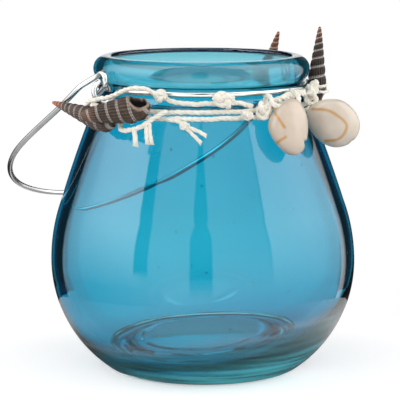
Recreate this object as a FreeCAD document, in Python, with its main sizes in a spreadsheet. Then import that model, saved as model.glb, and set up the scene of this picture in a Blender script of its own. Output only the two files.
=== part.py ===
import FreeCAD, Part
import math
import os
import Sketcher
from FreeCAD import Placement, Rotation, Vector

# Hanging glass jar lantern: a pear-shaped blown jar with a rolled rim, a wire round its neck
# with two eyes, a swinging wire bail, and cotton cord that ties sea shells to the neck.
# The jar stands on z = 0 with its axis on z; -y is the front and azimuths run from -y to +x.

doc = FreeCAD.newDocument("JarLantern")
sheet = doc.addObject("Spreadsheet::Sheet", "Size")

SIZES = {
    # Blown glass jar
    "body_radius": 50.0,
    "belly_height": 35.25,
    "foot_radius": 31.1,
    "foot_ring_width": 3.6,
    "base_hollow_depth": 4.0,
    "shoulder_bend_radius": 57.0,
    "shoulder_slope": 20.27,
    "neck_height": 91.0,
    "groove_bend_radius": 2.5,
    "bead_overhang_width": 2.03,
    "bead_round_radius": 4.3,
    "bead_rise_height": 7.3,
    "bead_wrap": 52.0,
    "rim_width": 6.0,
    "lip_radius": 1.2,
    "channel_depth": 2.6,
    "throat_step_width": 0.6,
    "throat_rise_height": 3.6,
    "throat_bend_radius": 9.0,
    "throat_drop_height": 4.0,
    "wall_thickness": 3.4,
    "trough_radius": 29.0,
    "trough_height": 5.8,
    "floor_radius": 22.5,
    "floor_height": 8.5,
    # Wire round the neck, with an eye on each side
    "neck_wire_diameter": 1.8,
    "wire_seat_gap": 0.3,
    "eye_radius": 3.3,
    "eye_spread_width": 6.0,
    "eye_lift_depth": 1.0,
    "eye_drop_height": 0.4,
    "eye_azimuth": -56.84,
    "wire_end_azimuth": 146.0,
    "wire_end_gap": 0.8,
    # Wire bail that hooks through the eyes
    "bail_wire_diameter": 1.8,
    "bail_droop": 32.05,
    "hook_radius": 2.5,
    "hook_outset_width": 0.2,
    "hook_stub_length": 4.5,
    "pivot_gap": 0.1,
    "flare_length": 8.6,
    "flare_outset_width": 4.3,
    "waist_length": 20.0,
    "waist_outset_width": 6.1,
    "crown_outset_width": 8.3,
    "crown_center_length": 46.1,
    "bail_offset_height": 0.7,
    # Cotton cord
    "cord_diameter": 1.6,
    "cord_seat_gap": 0.05,
    "winding_turns": 2.0,
    "winding_pitch": 1.95,
    "winding_drop_height": 3.2,
    "winding_azimuth": 72.0,
    "rope_diameter": 2.6,
    "tie_turns": 2.0,
    "tie_pitch": 2.1,
    "tie_gap": 0.1,
    "right_tie_height": 4.6,
    "back_tie_height": 6.0,
    # Auger shells: each one's mouth, and the point that its tip aims at, has an azimuth, a drop
    # below the neck's foot and a standoff from the glass
    "rear_left_auger_length": 28.7,
    "rear_left_auger_diameter": 7.4,
    "rear_left_auger_tip_radius": 0.5,
    "rear_left_auger_mouth_azimuth": -41.0,
    "rear_left_auger_mouth_height": 8.0,
    "rear_left_auger_mouth_gap": 5.5,
    "rear_left_auger_aim_azimuth": -77.5,
    "rear_left_auger_aim_height": 2.4,
    "rear_left_auger_aim_gap": 16.4,
    "front_left_auger_length": 22.3,
    "front_left_auger_diameter": 8.0,
    "front_left_auger_tip_radius": 1.7,
    "front_left_auger_mouth_azimuth": -23.2,
    "front_left_auger_mouth_height": 1.55,
    "front_left_auger_mouth_gap": 7.1,
    "front_left_auger_aim_azimuth": -48.5,
    "front_left_auger_aim_height": 4.9,
    "front_left_auger_aim_gap": 14.9,
    "right_auger_length": 27.0,
    "right_auger_diameter": 7.2,
    "right_auger_tip_radius": 0.45,
    "right_auger_mouth_azimuth": 112.7,
    "right_auger_mouth_height": 7.3,
    "right_auger_mouth_gap": 5.1,
    "right_auger_aim_azimuth": 113.5,
    "right_auger_aim_height": -19.1,
    "right_auger_aim_gap": 16.6,
    "back_auger_length": 27.5,
    "back_auger_diameter": 7.0,
    "back_auger_tip_radius": 0.45,
    "back_auger_mouth_azimuth": 152.5,
    "back_auger_mouth_height": 8.2,
    "back_auger_mouth_gap": 5.4,
    "back_auger_aim_azimuth": 138.1,
    "back_auger_aim_height": -17.2,
    "back_auger_aim_gap": 12.1,
    # Cowrie shells
    "front_cowrie_length": 18.0,
    "front_cowrie_width": 13.2,
    "front_cowrie_height": 9.4,
    "side_cowrie_length": 16.8,
    "side_cowrie_width": 15.4,
    "side_cowrie_height": 10.0,
    "cowrie_slit_width": 1.0,
    "cowrie_hole_diameter": 2.6,
    "cowrie_gap": 2.4,
    "cowrie_lean": 13.0,
    "front_cowrie_azimuth": 39.6,
    "front_cowrie_drop_height": 9.7,
    "side_cowrie_azimuth": 67.8,
    "side_cowrie_drop_height": 9.2,
    "side_cowrie_gap": 8.9,
}
for row, (name, number) in enumerate(SIZES.items(), 1):
    sheet.set("A%d" % row, name)
    sheet.set("B%d" % row, str(number))
    sheet.setAlias("B%d" % row, name)
doc.recompute()


def value(expression):
    """The number that an expression on the sheet's cells gives."""
    result = sheet.evalExpression(expression)
    return float(getattr(result, "Value", result))


def size(name):
    return float(sheet.get(name))


def circle_center(start, end, radius, side):
    """Centre of the arc from start to end; side 1 turns left along the arc, -1 turns right."""
    chord = end - start
    half = chord.Length / 2
    across = Vector(-chord.y, chord.x, 0).normalize()
    return (start + end) / 2 + across * side * math.sqrt(radius**2 - half**2)


# Revolved pieces: an outline of corners, each with the curve that leads on to the next corner

def revolved_body(label, corners):
    """A solid turned about z. Each corner is (x, z, radius, side), as expressions on the sheet;
    radius is None where a straight line leads to the next corner."""
    body = doc.addObject("PartDesign::Body", label)
    sketch = body.newObject("Sketcher::SketchObject", label + "_outline")
    plane = [f for f in body.Origin.OriginFeatures if f.Role == "XZ_Plane"][0]
    sketch.AttachmentSupport = [(plane, "")]
    sketch.MapMode = "FlatFace"
    places = [Vector(value(x), value(z), 0) for x, z, radius, side in corners]
    first_points = []
    last_points = []
    for index, (x, z, radius, side) in enumerate(corners):
        start = places[index]
        end = places[(index + 1) % len(corners)]
        if radius is None:
            sketch.addGeometry(Part.LineSegment(start, end), False)
            first_points.append(1)
            last_points.append(2)
            continue
        center = circle_center(start, end, value(radius), side)
        circle = Part.Circle(center, Vector(0, 0, 1), value(radius))
        low, high = (start, end) if side > 0 else (end, start)
        angles = [math.atan2(p.y - center.y, p.x - center.x) for p in (low, high)]
        sketch.addGeometry(Part.ArcOfCircle(circle, angles[0], angles[1]), False)
        first_points.append(1 if side > 0 else 2)
        last_points.append(2 if side > 0 else 1)
    for index, (x, z, radius, side) in enumerate(corners):
        following = (index + 1) % len(corners)
        sketch.addConstraint(Sketcher.Constraint(
            "Coincident", index, last_points[index], following, first_points[following]))
        point = (index, first_points[index])
        for kind, axis, expression, number in (
                ("DistanceX", -2, x, places[index].x), ("DistanceY", -1, z, places[index].y)):
            if expression == "0":
                sketch.addConstraint(Sketcher.Constraint("PointOnObject", *point, axis))
                continue
            row = sketch.addConstraint(Sketcher.Constraint(kind, -1, 1, *point, number))
            sketch.setExpression("Constraints[%d]" % row, expression)
        if radius is not None:
            row = sketch.addConstraint(Sketcher.Constraint("Radius", index, value(radius)))
            sketch.setExpression("Constraints[%d]" % row, radius)
    turned = body.newObject("PartDesign::Revolution", label + "_turned")
    turned.Profile = sketch
    turned.ReferenceAxis = (sketch, ["V_Axis"])
    turned.Angle = 360.0
    body.Tip = turned
    return body


# Jar outline: the shoulder is an arc, then a straight cone up to a groove under the rolled bead.
# Inside, the roll leaves a shallow channel under the lip, and a trough runs round the raised floor.

BEND_X = "(Size.body_radius - Size.shoulder_bend_radius * (1 - cos(Size.shoulder_slope)))"
BEND_Z = "(Size.belly_height + Size.shoulder_bend_radius * sin(Size.shoulder_slope))"
NECK_X = "(" + BEND_X + " - (Size.neck_height - " + BEND_Z + ") * tan(Size.shoulder_slope))"
BEAD_RADIUS = "(" + NECK_X + " + Size.bead_overhang_width)"
MOUTH_RADIUS = "(" + BEAD_RADIUS + " - Size.rim_width)"
BEAD_X = "(" + BEAD_RADIUS + " - Size.bead_round_radius)"
BEAD_Z = "(Size.neck_height + Size.bead_rise_height)"
GROOVE_END_X = BEAD_X + " + Size.bead_round_radius * cos(Size.bead_wrap)"
GROOVE_END_Z = BEAD_Z + " - Size.bead_round_radius * sin(Size.bead_wrap)"
RIM_TOP = "(" + BEAD_Z + " + Size.bead_round_radius)"
THROAT_X = "(" + MOUTH_RADIUS + " + Size.throat_step_width)"
THROAT_Z = "(Size.neck_height + Size.throat_rise_height)"
CHANNEL_RISE = "(" + RIM_TOP + " - Size.lip_radius - " + THROAT_Z + ")"
CHANNEL_BEND = ("((Size.throat_step_width^2 + " + CHANNEL_RISE + "^2) / 4 + Size.channel_depth^2)"
                " / (2 * Size.channel_depth)")
INNER_NECK_X = ("(" + NECK_X + " + Size.throat_drop_height * tan(Size.shoulder_slope)"
                " - Size.wall_thickness / cos(Size.shoulder_slope))")
FOOT_INNER = "(Size.foot_radius - Size.foot_ring_width)"
HOLLOW_BEND = "(" + FOOT_INNER + "^2 + Size.base_hollow_depth^2) / (2 * Size.base_hollow_depth)"
HEEL_IN = "(Size.body_radius - Size.foot_radius)"
HEEL_BEND = "(" + HEEL_IN + "^2 + Size.belly_height^2) / (2 * " + HEEL_IN + ")"
TROUGH_IN = "(Size.body_radius - Size.wall_thickness - Size.trough_radius)"
TROUGH_RISE = "(Size.belly_height - Size.trough_height)"
TROUGH_BEND = "(" + TROUGH_IN + "^2 + " + TROUGH_RISE + "^2) / (2 * " + TROUGH_IN + ")"

revolved_body("glass_jar", [
    ("0", "Size.base_hollow_depth", HOLLOW_BEND, -1),
    (FOOT_INNER, "0", None, 0),
    ("Size.foot_radius", "0", HEEL_BEND, 1),
    ("Size.body_radius", "Size.belly_height", "Size.shoulder_bend_radius", 1),
    (BEND_X, BEND_Z, None, 0),
    (NECK_X, "Size.neck_height", "Size.groove_bend_radius", -1),
    (GROOVE_END_X, GROOVE_END_Z, "Size.bead_round_radius", 1),
    (BEAD_X, RIM_TOP, None, 0),
    (MOUTH_RADIUS + " + Size.lip_radius", RIM_TOP, "Size.lip_radius", 1),
    (MOUTH_RADIUS, RIM_TOP + " - Size.lip_radius", CHANNEL_BEND, -1),
    (THROAT_X, THROAT_Z, "Size.throat_bend_radius", 1),
    (INNER_NECK_X, "Size.neck_height - Size.throat_drop_height", None, 0),
    (BEND_X + " - Size.wall_thickness * cos(Size.shoulder_slope)",
     BEND_Z + " - Size.wall_thickness * sin(Size.shoulder_slope)",
     "Size.shoulder_bend_radius - Size.wall_thickness", -1),
    ("Size.body_radius - Size.wall_thickness", "Size.belly_height", TROUGH_BEND, -1),
    ("Size.trough_radius", "Size.trough_height", None, 0),
    ("Size.floor_radius", "Size.floor_height", None, 0),
    ("0", "Size.floor_height", None, 0),
])

neck_height = size("neck_height")
shoulder_tangent = math.tan(math.radians(size("shoulder_slope")))
groove_center = circle_center(
    Vector(value(NECK_X), neck_height, 0),
    Vector(value(GROOVE_END_X), value(GROOVE_END_Z), 0), size("groove_bend_radius"), -1)
groove_radius = groove_center.x - size("groove_bend_radius")
groove_height = groove_center.y


def outward(azimuth):
    angle = math.radians(azimuth)
    return Vector(math.sin(angle), -math.cos(angle), 0)


def along_neck(azimuth):
    angle = math.radians(azimuth)
    return Vector(math.cos(angle), math.sin(angle), 0)


def beside_glass(azimuth, drop, standoff):
    """A point beside the jar's shoulder: its azimuth, how far below the neck's foot it is, and
    how far out from the glass."""
    radius = value(NECK_X) + drop * shoulder_tangent + standoff
    return outward(azimuth) * radius + Vector(0, 0, neck_height - drop)


# Wire and cord: tubes on chains of tangent arcs

def arc_edge(start, corner, end):
    """The arc that leaves start towards corner and reaches end from corner."""
    middle = (start + end) / 2
    half = (end - start).Length / 2
    height = (corner - middle).Length
    if height < half * 1e-4:
        return Part.LineSegment(start, end).toShape()
    rise = half * math.tan(math.atan2(height, half) / 2)
    return Part.Arc(start, middle + (corner - middle) * (rise / height), end).toShape()


def biarc_edges(stations):
    """Two tangent arcs from each (point, direction) station to the next."""
    edges = []
    for (start, leaving), (end, arriving) in zip(stations, stations[1:]):
        span = end - start
        both = leaving + arriving
        spread = 2 * (1 - leaving.dot(arriving))
        if spread < 1e-9:
            reach = span.dot(span) / (4 * span.dot(arriving))
        else:
            inside = span.dot(both)**2 + spread * span.dot(span)
            reach = (math.sqrt(inside) - span.dot(both)) / spread
        first = start + leaving * reach
        second = end - arriving * reach
        joint = (first + second) / 2
        edges.append(arc_edge(start, first, joint))
        edges.append(arc_edge(joint, second, end))
    return edges


def route_edges(label, points):
    """Straight runs joined by tangent arcs, each as large as its two runs allow."""
    share = 0.45
    edges = []
    radii = []
    here = points[0]
    for before, corner, after in zip(points, points[1:], points[2:]):
        run_in = corner - before
        run_out = after - corner
        reach = share * min(run_in.Length, run_out.Length)
        radii.append(reach / math.tan(run_in.getAngle(run_out) / 2))
        start = corner - run_in.normalize() * reach
        end = corner + run_out.normalize() * reach
        edges.append(Part.LineSegment(here, start).toShape())
        edges.append(arc_edge(start, corner, end))
        here = end
    edges.append(Part.LineSegment(here, points[-1]).toShape())
    print(label, "bend radii mm:", " ".join("%.1f" % r for r in radii))
    return edges


def tube(edges, diameter):
    """A round tube along a chain of edges, with its volume held against section times length."""
    path = Part.Wire(edges)
    first = path.OrderedEdges[0]
    start = first.valueAt(first.FirstParameter)
    direction = first.tangentAt(first.FirstParameter)
    ring = Part.Wire([Part.Circle(start, direction, diameter / 2).toShape()])
    solid = path.makePipeShell([ring], True, False)
    expected = math.pi * diameter**2 / 4 * path.Length
    if abs(solid.Volume / expected - 1) > 0.02:
        raise ValueError("a tube's volume is off: %.1f for %.1f" % (solid.Volume, expected))
    return solid


def shaped(label, shape):
    feature = doc.addObject("Part::Feature", label)
    feature.Shape = shape
    return feature


def stations_of(curve, samples):
    """Points of a curve with their directions, from values of its parameter."""
    step = 1e-4
    stations = []
    for at in samples:
        ahead = curve(at + step) - curve(at - step)
        stations.append((curve(at), ahead.normalize()))
    return stations


def least_gap(label, stations, diameter, skip):
    """Prints the least gap between stretches of one tube that are not neighbours."""
    points = [point for point, direction in stations]
    gaps = [points[i].distanceToPoint(points[j]) - diameter
            for i in range(len(points)) for j in range(i + skip, len(points))]
    print(label, "least gap to itself mm: %.2f" % min(gaps))


# Neck wire: one wire laid in the groove that curls once into an eye on each side

ring_radius = groove_radius + size("neck_wire_diameter") / 2 + size("wire_seat_gap")
eye_top_share = 0.3675


def eye_curl(azimuth):
    """The curl of an eye: the wire turns once about a line along the neck while it passes by,
    drawn out and down from the groove. The top of the turn lies at the eye's own azimuth."""
    def curve(at):
        turn = 2 * math.pi * at - math.sin(2 * math.pi * at)
        drawn = math.sin(math.pi * at)**2
        along = size("eye_spread_width") * (at - eye_top_share)
        radius = ring_radius + size("eye_lift_depth") * drawn + size("eye_radius") * (1 - math.cos(turn))
        height = groove_height - size("eye_drop_height") * drawn + size("eye_radius") * math.sin(turn)
        return outward(azimuth + math.degrees(along / ring_radius)) * radius + Vector(0, 0, height)
    return curve


def ring_stations(start, end):
    count = max(2, math.ceil((end - start) / 45) + 1)
    turns = [start + (end - start) * i / (count - 1) for i in range(count)]
    return [(outward(a) * ring_radius + Vector(0, 0, groove_height), along_neck(a)) for a in turns]


def make_neck_wire():
    first_eye = size("eye_azimuth")
    second_eye = first_eye + 180
    before = math.degrees(size("eye_spread_width") * eye_top_share / ring_radius)
    after = math.degrees(size("eye_spread_width") * (1 - eye_top_share) / ring_radius)
    end = size("wire_end_azimuth")
    start = end - 360 + math.degrees(size("wire_end_gap") / ring_radius)
    curl_samples = [i / 20 for i in range(1, 20)]
    stations = ring_stations(start, first_eye - before)
    stations += stations_of(eye_curl(first_eye), curl_samples)
    stations += ring_stations(first_eye + after, second_eye - before)
    stations += stations_of(eye_curl(second_eye), curl_samples)
    stations += ring_stations(second_eye + after, end)
    shape = tube(biarc_edges(stations), size("neck_wire_diameter"))
    close = stations_of(eye_curl(first_eye), [i / 60 for i in range(61)])
    least_gap("neck_wire eye", close, size("neck_wire_diameter"), 18)
    return shaped("neck_wire", shape)


make_neck_wire()

# Bail: a round crown, two flared legs, and an open hook at each foot that goes round the
# top bar of its eye and ends in a cut stub

bail_side = outward(size("eye_azimuth"))
bail_back = bail_side.cross(Vector(0, 0, 1))
droop = math.radians(size("bail_droop"))
bail_reach = bail_back * math.cos(droop) - Vector(0, 0, math.sin(droop))
bail_over = bail_back * math.sin(droop) + Vector(0, 0, math.cos(droop))
eye_top = eye_curl(size("eye_azimuth"))(eye_top_share)
pivot = Vector(0, 0, eye_top.z + size("pivot_gap"))


def bail_point(across, reach, over):
    return pivot + bail_side * across + bail_reach * reach + bail_over * over


def bail_direction(across, reach, over):
    return (bail_side * across + bail_reach * reach + bail_over * over).normalize()


# How far a leg leans out, and dips, for each millimetre along it where it leaves its hook
FLARE_LEAN = 0.3
FLARE_DIP = 0.2


def make_bail():
    hook = size("hook_radius")
    offset = size("bail_offset_height")
    hook_across = eye_top.dot(bail_side) + size("hook_outset_width")
    crown = hook_across + size("crown_outset_width")
    center = size("crown_center_length")
    flare = hook_across + size("flare_outset_width")
    waist = hook_across + size("waist_outset_width")
    spread = (crown - waist) / (center - size("waist_length"))
    edges = []
    for side in (1, -1):
        foot = bail_point(side * hook_across, 0, hook)
        under = bail_point(side * hook_across, 0, -hook)
        stub = bail_point(side * hook_across, size("hook_stub_length"), -hook)
        leg = [(foot, bail_direction(0, 1, 0)),
               (bail_point(side * flare, size("flare_length"), (hook + offset) / 2),
                bail_direction(side * FLARE_LEAN, 1, -FLARE_DIP)),
               (bail_point(side * waist, size("waist_length"), offset), bail_direction(side * spread, 1, 0)),
               (bail_point(side * crown, center, offset), bail_direction(0, 1, 0))]
        chain = [Part.LineSegment(stub, under).toShape(),
                 Part.Arc(under, bail_point(side * hook_across, -hook, 0), foot).toShape()]
        chain += biarc_edges(leg)
        rise = crown * math.sqrt(0.5)
        top = bail_point(0, center + crown, offset)
        shoulder = bail_point(side * rise, center + rise, offset)
        quarter = Part.Arc(bail_point(side * crown, center, offset), shoulder, top).toShape()
        chain.append(quarter)
        edges += chain if side == 1 else chain[::-1]
    return shaped("bail_handle", tube(Part.__sortEdges__(edges), size("bail_wire_diameter")))


make_bail()

# Neck cord: one length wound round the shoulder just under the neck wire

cord_diameter = size("cord_diameter")
cord_seat = cord_diameter / 2 / math.cos(math.radians(size("shoulder_slope"))) + size("cord_seat_gap")


def winding(turn):
    drop = size("winding_drop_height") + size("winding_pitch") * turn
    return beside_glass(size("winding_azimuth") - 360 * turn, drop, cord_seat)


def make_neck_cord():
    turns = size("winding_turns")
    quarters = round(turns * 8)
    stations = stations_of(winding, [turns * i / quarters for i in range(quarters + 1)])
    close = stations_of(winding, [turns * i / 144 for i in range(145)])
    least_gap("neck_cord", close, cord_diameter, 30)
    return shaped("neck_cord", tube(biarc_edges(stations), cord_diameter))


make_neck_cord()

# Auger shells: tall spires of rounded whorls that shrink towards the tip, with a hollow mouth

# Count of whorls, each whorl's height over the one below, and shares of the length or the radius
# that set the mouth's depth and width, the lip's height and bend, and a whorl's bend and taper
AUGER_WHORLS = 9
AUGER_RATIO = 0.87
MOUTH_DEPTH = 0.12
MOUTH_WIDTH = 0.5
LIP_HEIGHT = 0.1
LIP_BEND = 0.16
WHORL_BEND = 2.2
WHORL_TAPER = 0.9
FIRST_WHORL = (1 - AUGER_RATIO) / (1 - AUGER_RATIO**AUGER_WHORLS)


def auger(label, mouth, direction):
    """A spire from the centre of its mouth along a direction."""
    length = "Size.%s_length" % label
    radius = "(Size.%s_diameter / 2)" % label
    point = "Size.%s_tip_radius" % label
    shares = [(1 - AUGER_RATIO**i) / (1 - AUGER_RATIO**AUGER_WHORLS) for i in range(AUGER_WHORLS + 1)]
    corners = [("0", "%s * %.2f" % (length, MOUTH_DEPTH), None, 0),
               ("%s * %.2f" % (radius, MOUTH_WIDTH), "0", "%s * %.2f" % (length, LIP_BEND), 1)]
    for lower, upper in zip(shares, shares[1:]):
        width = "%s + (%s - %s) * %.4f" % (point, radius, point, (1 - lower)**WHORL_TAPER)
        height = "%s * %.2f + (%s * %.2f - %s) * %.4f" % (
            length, LIP_HEIGHT, length, 1 - LIP_HEIGHT, point, lower)
        bend = "%s * %.4f" % (length, (upper - lower) * WHORL_BEND)
        corners.append((width, height, bend, 1))
    corners.append((point, length + " - " + point, point, 1))
    corners.append(("0", length, None, 0))
    body = revolved_body(label, corners)
    body.Placement = Placement(mouth, Rotation(Vector(0, 0, 1), direction))


def auger_end(label, end):
    """Where a shell's mouth, or the point that its tip aims at, is beside the jar."""
    return beside_glass(*[size("%s_%s_%s" % (label, end, way)) for way in ("azimuth", "height", "gap")])


auger_axes = {}
for label in ("rear_left_auger", "front_left_auger", "right_auger", "back_auger"):
    auger_axes[label] = (auger_end(label, "aim") - auger_end(label, "mouth")).normalize()
    auger(label, auger_end(label, "mouth"), auger_axes[label])

# Ties: cord wound round each upright auger just above its widest whorl


def auger_tie(label, shell, height):
    mouth = auger_end(shell, "mouth")
    axis = auger_axes[shell]
    beside = axis.cross(Vector(0, 1, 0)).normalize()
    across = axis.cross(beside)
    bulge = size(shell + "_length") * FIRST_WHORL / (8 * WHORL_BEND)
    radius = size(shell + "_diameter") / 2 + bulge + cord_diameter / 2 + size("tie_gap")
    turns = size("tie_turns")

    def curve(turn):
        angle = 2 * math.pi * turn
        around = beside * math.cos(angle) + across * math.sin(angle)
        return mouth + axis * (height + size("tie_pitch") * turn) + around * radius

    stations = stations_of(curve, [turns * i / round(turns * 8) for i in range(round(turns * 8) + 1)])
    close = stations_of(curve, [turns * i / 144 for i in range(145)])
    least_gap(label, close, cord_diameter, 30)
    return shaped(label, tube(biarc_edges(stations), cord_diameter))


auger_tie("right_auger_tie", "right_auger", size("right_tie_height"))
auger_tie("back_auger_tie", "back_auger", size("back_tie_height"))

# Cowrie shells: a domed back, a flat belly with a slit; the front one hangs on a cross hole.
# Shares of a shell's height, length and width that place its belly, its hole and its loop

BELLY_SHARE = 0.38
SLIT_SHARE = 0.7
SLIT_DEPTH = 0.25
HOLE_SHARE = 0.36
LOOP_SHARE = 0.43


def cowrie(label, place, long_way, back_way, hole):
    """A cowrie with its centre at place, its long axis along long_way and its dome facing
    back_way."""
    length = "Size.%s_length" % label
    width = "Size.%s_width" % label
    height = "Size.%s_height" % label
    dome = doc.addObject("Part::Ellipsoid", label + "_dome")
    dome.setExpression("Radius1", height + " / 2")
    dome.setExpression("Radius2", width + " / 2")
    dome.setExpression("Radius3", length + " / 2")
    belly = doc.addObject("Part::Box", label + "_belly")
    slit = doc.addObject("Part::Box", label + "_slit")
    belly.setExpression("Length", width)
    belly.setExpression("Width", length)
    belly.setExpression("Height", height + " / 2")
    belly.setExpression("Placement.Base.x", "-" + width + " / 2")
    belly.setExpression("Placement.Base.y", "-" + length + " / 2")
    belly.setExpression("Placement.Base.z", "-%s * %.2f" % (height, BELLY_SHARE + 0.5))
    slit.setExpression("Length", "Size.cowrie_slit_width")
    slit.setExpression("Width", "%s * %.2f" % (length, SLIT_SHARE))
    slit.setExpression("Height", height + " / 2")
    slit.setExpression("Placement.Base.x", "-Size.cowrie_slit_width / 2")
    slit.setExpression("Placement.Base.y", "-%s * %.3f" % (length, SLIT_SHARE / 2))
    slit.setExpression("Placement.Base.z", "-%s * %.2f" % (height, SLIT_DEPTH + 0.5))
    cutters = [belly, slit]
    if hole:
        drill = doc.addObject("Part::Cylinder", label + "_drill")
        drill.setExpression("Radius", "Size.cowrie_hole_diameter / 2")
        drill.setExpression("Height", width)
        drill.Placement = Placement(Vector(), Rotation(Vector(0, 1, 0), 90))
        drill.setExpression("Placement.Base.x", "-" + width + " / 2")
        drill.setExpression("Placement.Base.y", "%s * %.2f" % (length, HOLE_SHARE))
        cutters.append(drill)
    cutter = doc.addObject("Part::MultiFuse", label + "_cutter")
    cutter.Shapes = cutters
    shell = doc.addObject("Part::Cut", label)
    shell.Base = dome
    shell.Tool = cutter
    side_way = long_way.cross(back_way).normalize()
    back_way = side_way.cross(long_way).normalize()
    shell.Placement = Placement(place, Rotation(side_way, long_way, back_way, "ZYX"))


# The front cowrie hangs over the wound cord, leaning on the shoulder; the side one sticks out
front_azimuth = size("front_cowrie_azimuth")
lean = math.radians(size("cowrie_lean"))
cowrie_up = Vector(0, 0, math.cos(lean)) - outward(front_azimuth) * math.sin(lean)
cowrie_off = outward(front_azimuth) * math.cos(lean) + Vector(0, 0, math.sin(lean))
belly_gap = size("front_cowrie_height") * BELLY_SHARE + size("cowrie_gap")
front_center = beside_glass(front_azimuth, size("front_cowrie_drop_height"), 0) + cowrie_off * belly_gap
cowrie("front_cowrie", front_center, cowrie_up, cowrie_off, True)

SIDE_COWRIE_INWARDS = Vector(-0.92, -0.1, 0.38).normalize()
SIDE_COWRIE_BACK = Vector(-0.31, -0.95, -0.12)
side_center = beside_glass(
    size("side_cowrie_azimuth"), size("side_cowrie_drop_height"), size("side_cowrie_gap"))
cowrie("side_cowrie", side_center, SIDE_COWRIE_INWARDS, SIDE_COWRIE_BACK, False)

# Cord runs: the upper strand across the front, the lashing over the left shells, the sling under
# them, the loop that carries the front cowrie, the twisted run to the right, and the cut tails.
# Each point is an azimuth, a drop below the neck's foot and a standoff from the glass.


def cord_run(label, points, diameter):
    return shaped(label, tube(route_edges(label, points), diameter))


CORD_ROUTES = {
    "upper_cord": ((-18.5, -0.4, 2.0), (-12.0, 0.8, 1.15), (-4.0, 1.1, 1.0), (4.0, 0.95, 1.1),
                   (12.0, 0.5, 1.4), (20.0, 0.95, 1.3), (26.5, 2.1, 1.7)),
    "auger_lashing": ((-58.0, 1.7, 8.6), (-51.7, 0.5, 10.2), (-44.6, -0.5, 9.8), (-37.8, -1.9, 10.2),
                      (-33.1, -3.7, 10.9), (-28.8, -4.4, 10.4), (-24.7, -3.6, 8.3), (-21.2, -1.9, 5.6)),
    "auger_sling": ((-17.0, 3.2, 3.0), (-22.3, 5.2, 6.0), (-25.6, 7.6, 7.6), (-30.0, 8.9, 7.4),
                    (-35.0, 9.2, 6.9)),
    "left_tail": ((-28.4, 8.9, 7.4), (-27.6, 11.8, 6.8), (-27.8, 14.6, 5.5)),
    "short_tail": ((-23.6, 6.6, 6.8), (-23.0, 9.6, 6.0), (-22.4, 12.6, 4.8)),
    "middle_tail": ((-11.0, 6.5, 1.5), (-8.7, 7.3, 1.75), (-5.3, 8.95, 1.7), (-1.1, 10.85, 1.6)),
}
for label, route in CORD_ROUTES.items():
    cord_run(label, [beside_glass(*place) for place in route], cord_diameter)

TWISTED_ROUTE = ((31.1, 2.7, 3.3), (39.0, 0.6, 3.4), (48.0, -0.5, 3.5), (56.0, -0.9, 3.6),
                 (62.0, -0.7, 3.9))
cord_run("twisted_cord", [beside_glass(*place) for place in TWISTED_ROUTE], size("rope_diameter"))

hole_axis = along_neck(front_azimuth)
cowrie_hole = front_center + cowrie_up * size("front_cowrie_length") * HOLE_SHARE
loop_half = size("front_cowrie_width") * LOOP_SHARE
LOOP_ENDS = ((33.0, -1.4, 5.4), (50.5, -1.0, 5.6))
cord_run("cowrie_loop", [
    beside_glass(*LOOP_ENDS[0]),
    cowrie_hole - hole_axis * loop_half,
    cowrie_hole + hole_axis * loop_half,
    beside_glass(*LOOP_ENDS[1])], cord_diameter)
print("cowrie hole at", cowrie_hole, "bail pivot at", pivot)

# Knots: each a lump of the same cord, wider than it is thick


def knot(label, place, wide, thick, tall):
    """A knot beside the glass; wide runs along the neck, thick outwards and tall upwards."""
    lump = doc.addObject("Part::Ellipsoid", label)
    for radius, share in (("Radius2", wide), ("Radius3", thick), ("Radius1", tall)):
        lump.setExpression(radius, "Size.cord_diameter * %.3f" % share)
    lump.Placement = Placement(beside_glass(*place), Rotation(Vector(0, 0, 1), place[0]))


# Each knot's place, and its half width, half thickness and half height in cord diameters
KNOTS = {
    "left_knot": ((-20.4, -1.5, 4.2), 1.4, 1.1, 1.4),
    "middle_knot": ((9.9, -0.6, 4.2), 2.2, 1.1, 1.6),
    "lower_knot": ((21.2, 4.4, 3.2), 1.5, 1.0, 1.4),
    "right_knot": ((28.4, 3.2, 3.6), 1.3, 1.1, 1.7),
    "cowrie_knot": ((66.0, 0.2, 4.6), 1.8, 1.3, 2.3),
}
for label, (place, wide, thick, tall) in KNOTS.items():
    knot(label, place, wide, thick, tall)

doc.recompute()

NODES = ["glass_jar", "neck_wire", "bail_handle", "neck_cord", "rear_left_auger", "front_left_auger",
         "right_auger", "back_auger", "right_auger_tie", "back_auger_tie", "front_cowrie", "side_cowrie",
         "cowrie_loop", "twisted_cord"] + list(CORD_ROUTES) + list(KNOTS)
for item in doc.Objects:
    if "Invalid" in item.State or "Error" in item.State:
        raise RuntimeError("%s did not rebuild: %s" % (item.Label, item.State))
os.makedirs("parts", exist_ok=True)
for label in NODES:
    node = doc.getObjectsByLabel(label)[0]
    if node.Shape.isNull() or not node.Shape.isValid():
        raise RuntimeError(label + " has no valid shape")
    node.Shape.exportStep("parts/%s.step" % label)
    print(label, "volume mm3: %.1f" % node.Shape.Volume)
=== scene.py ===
import math
import bmesh
import bpy
from mathutils import Matrix, Vector, noise


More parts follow.
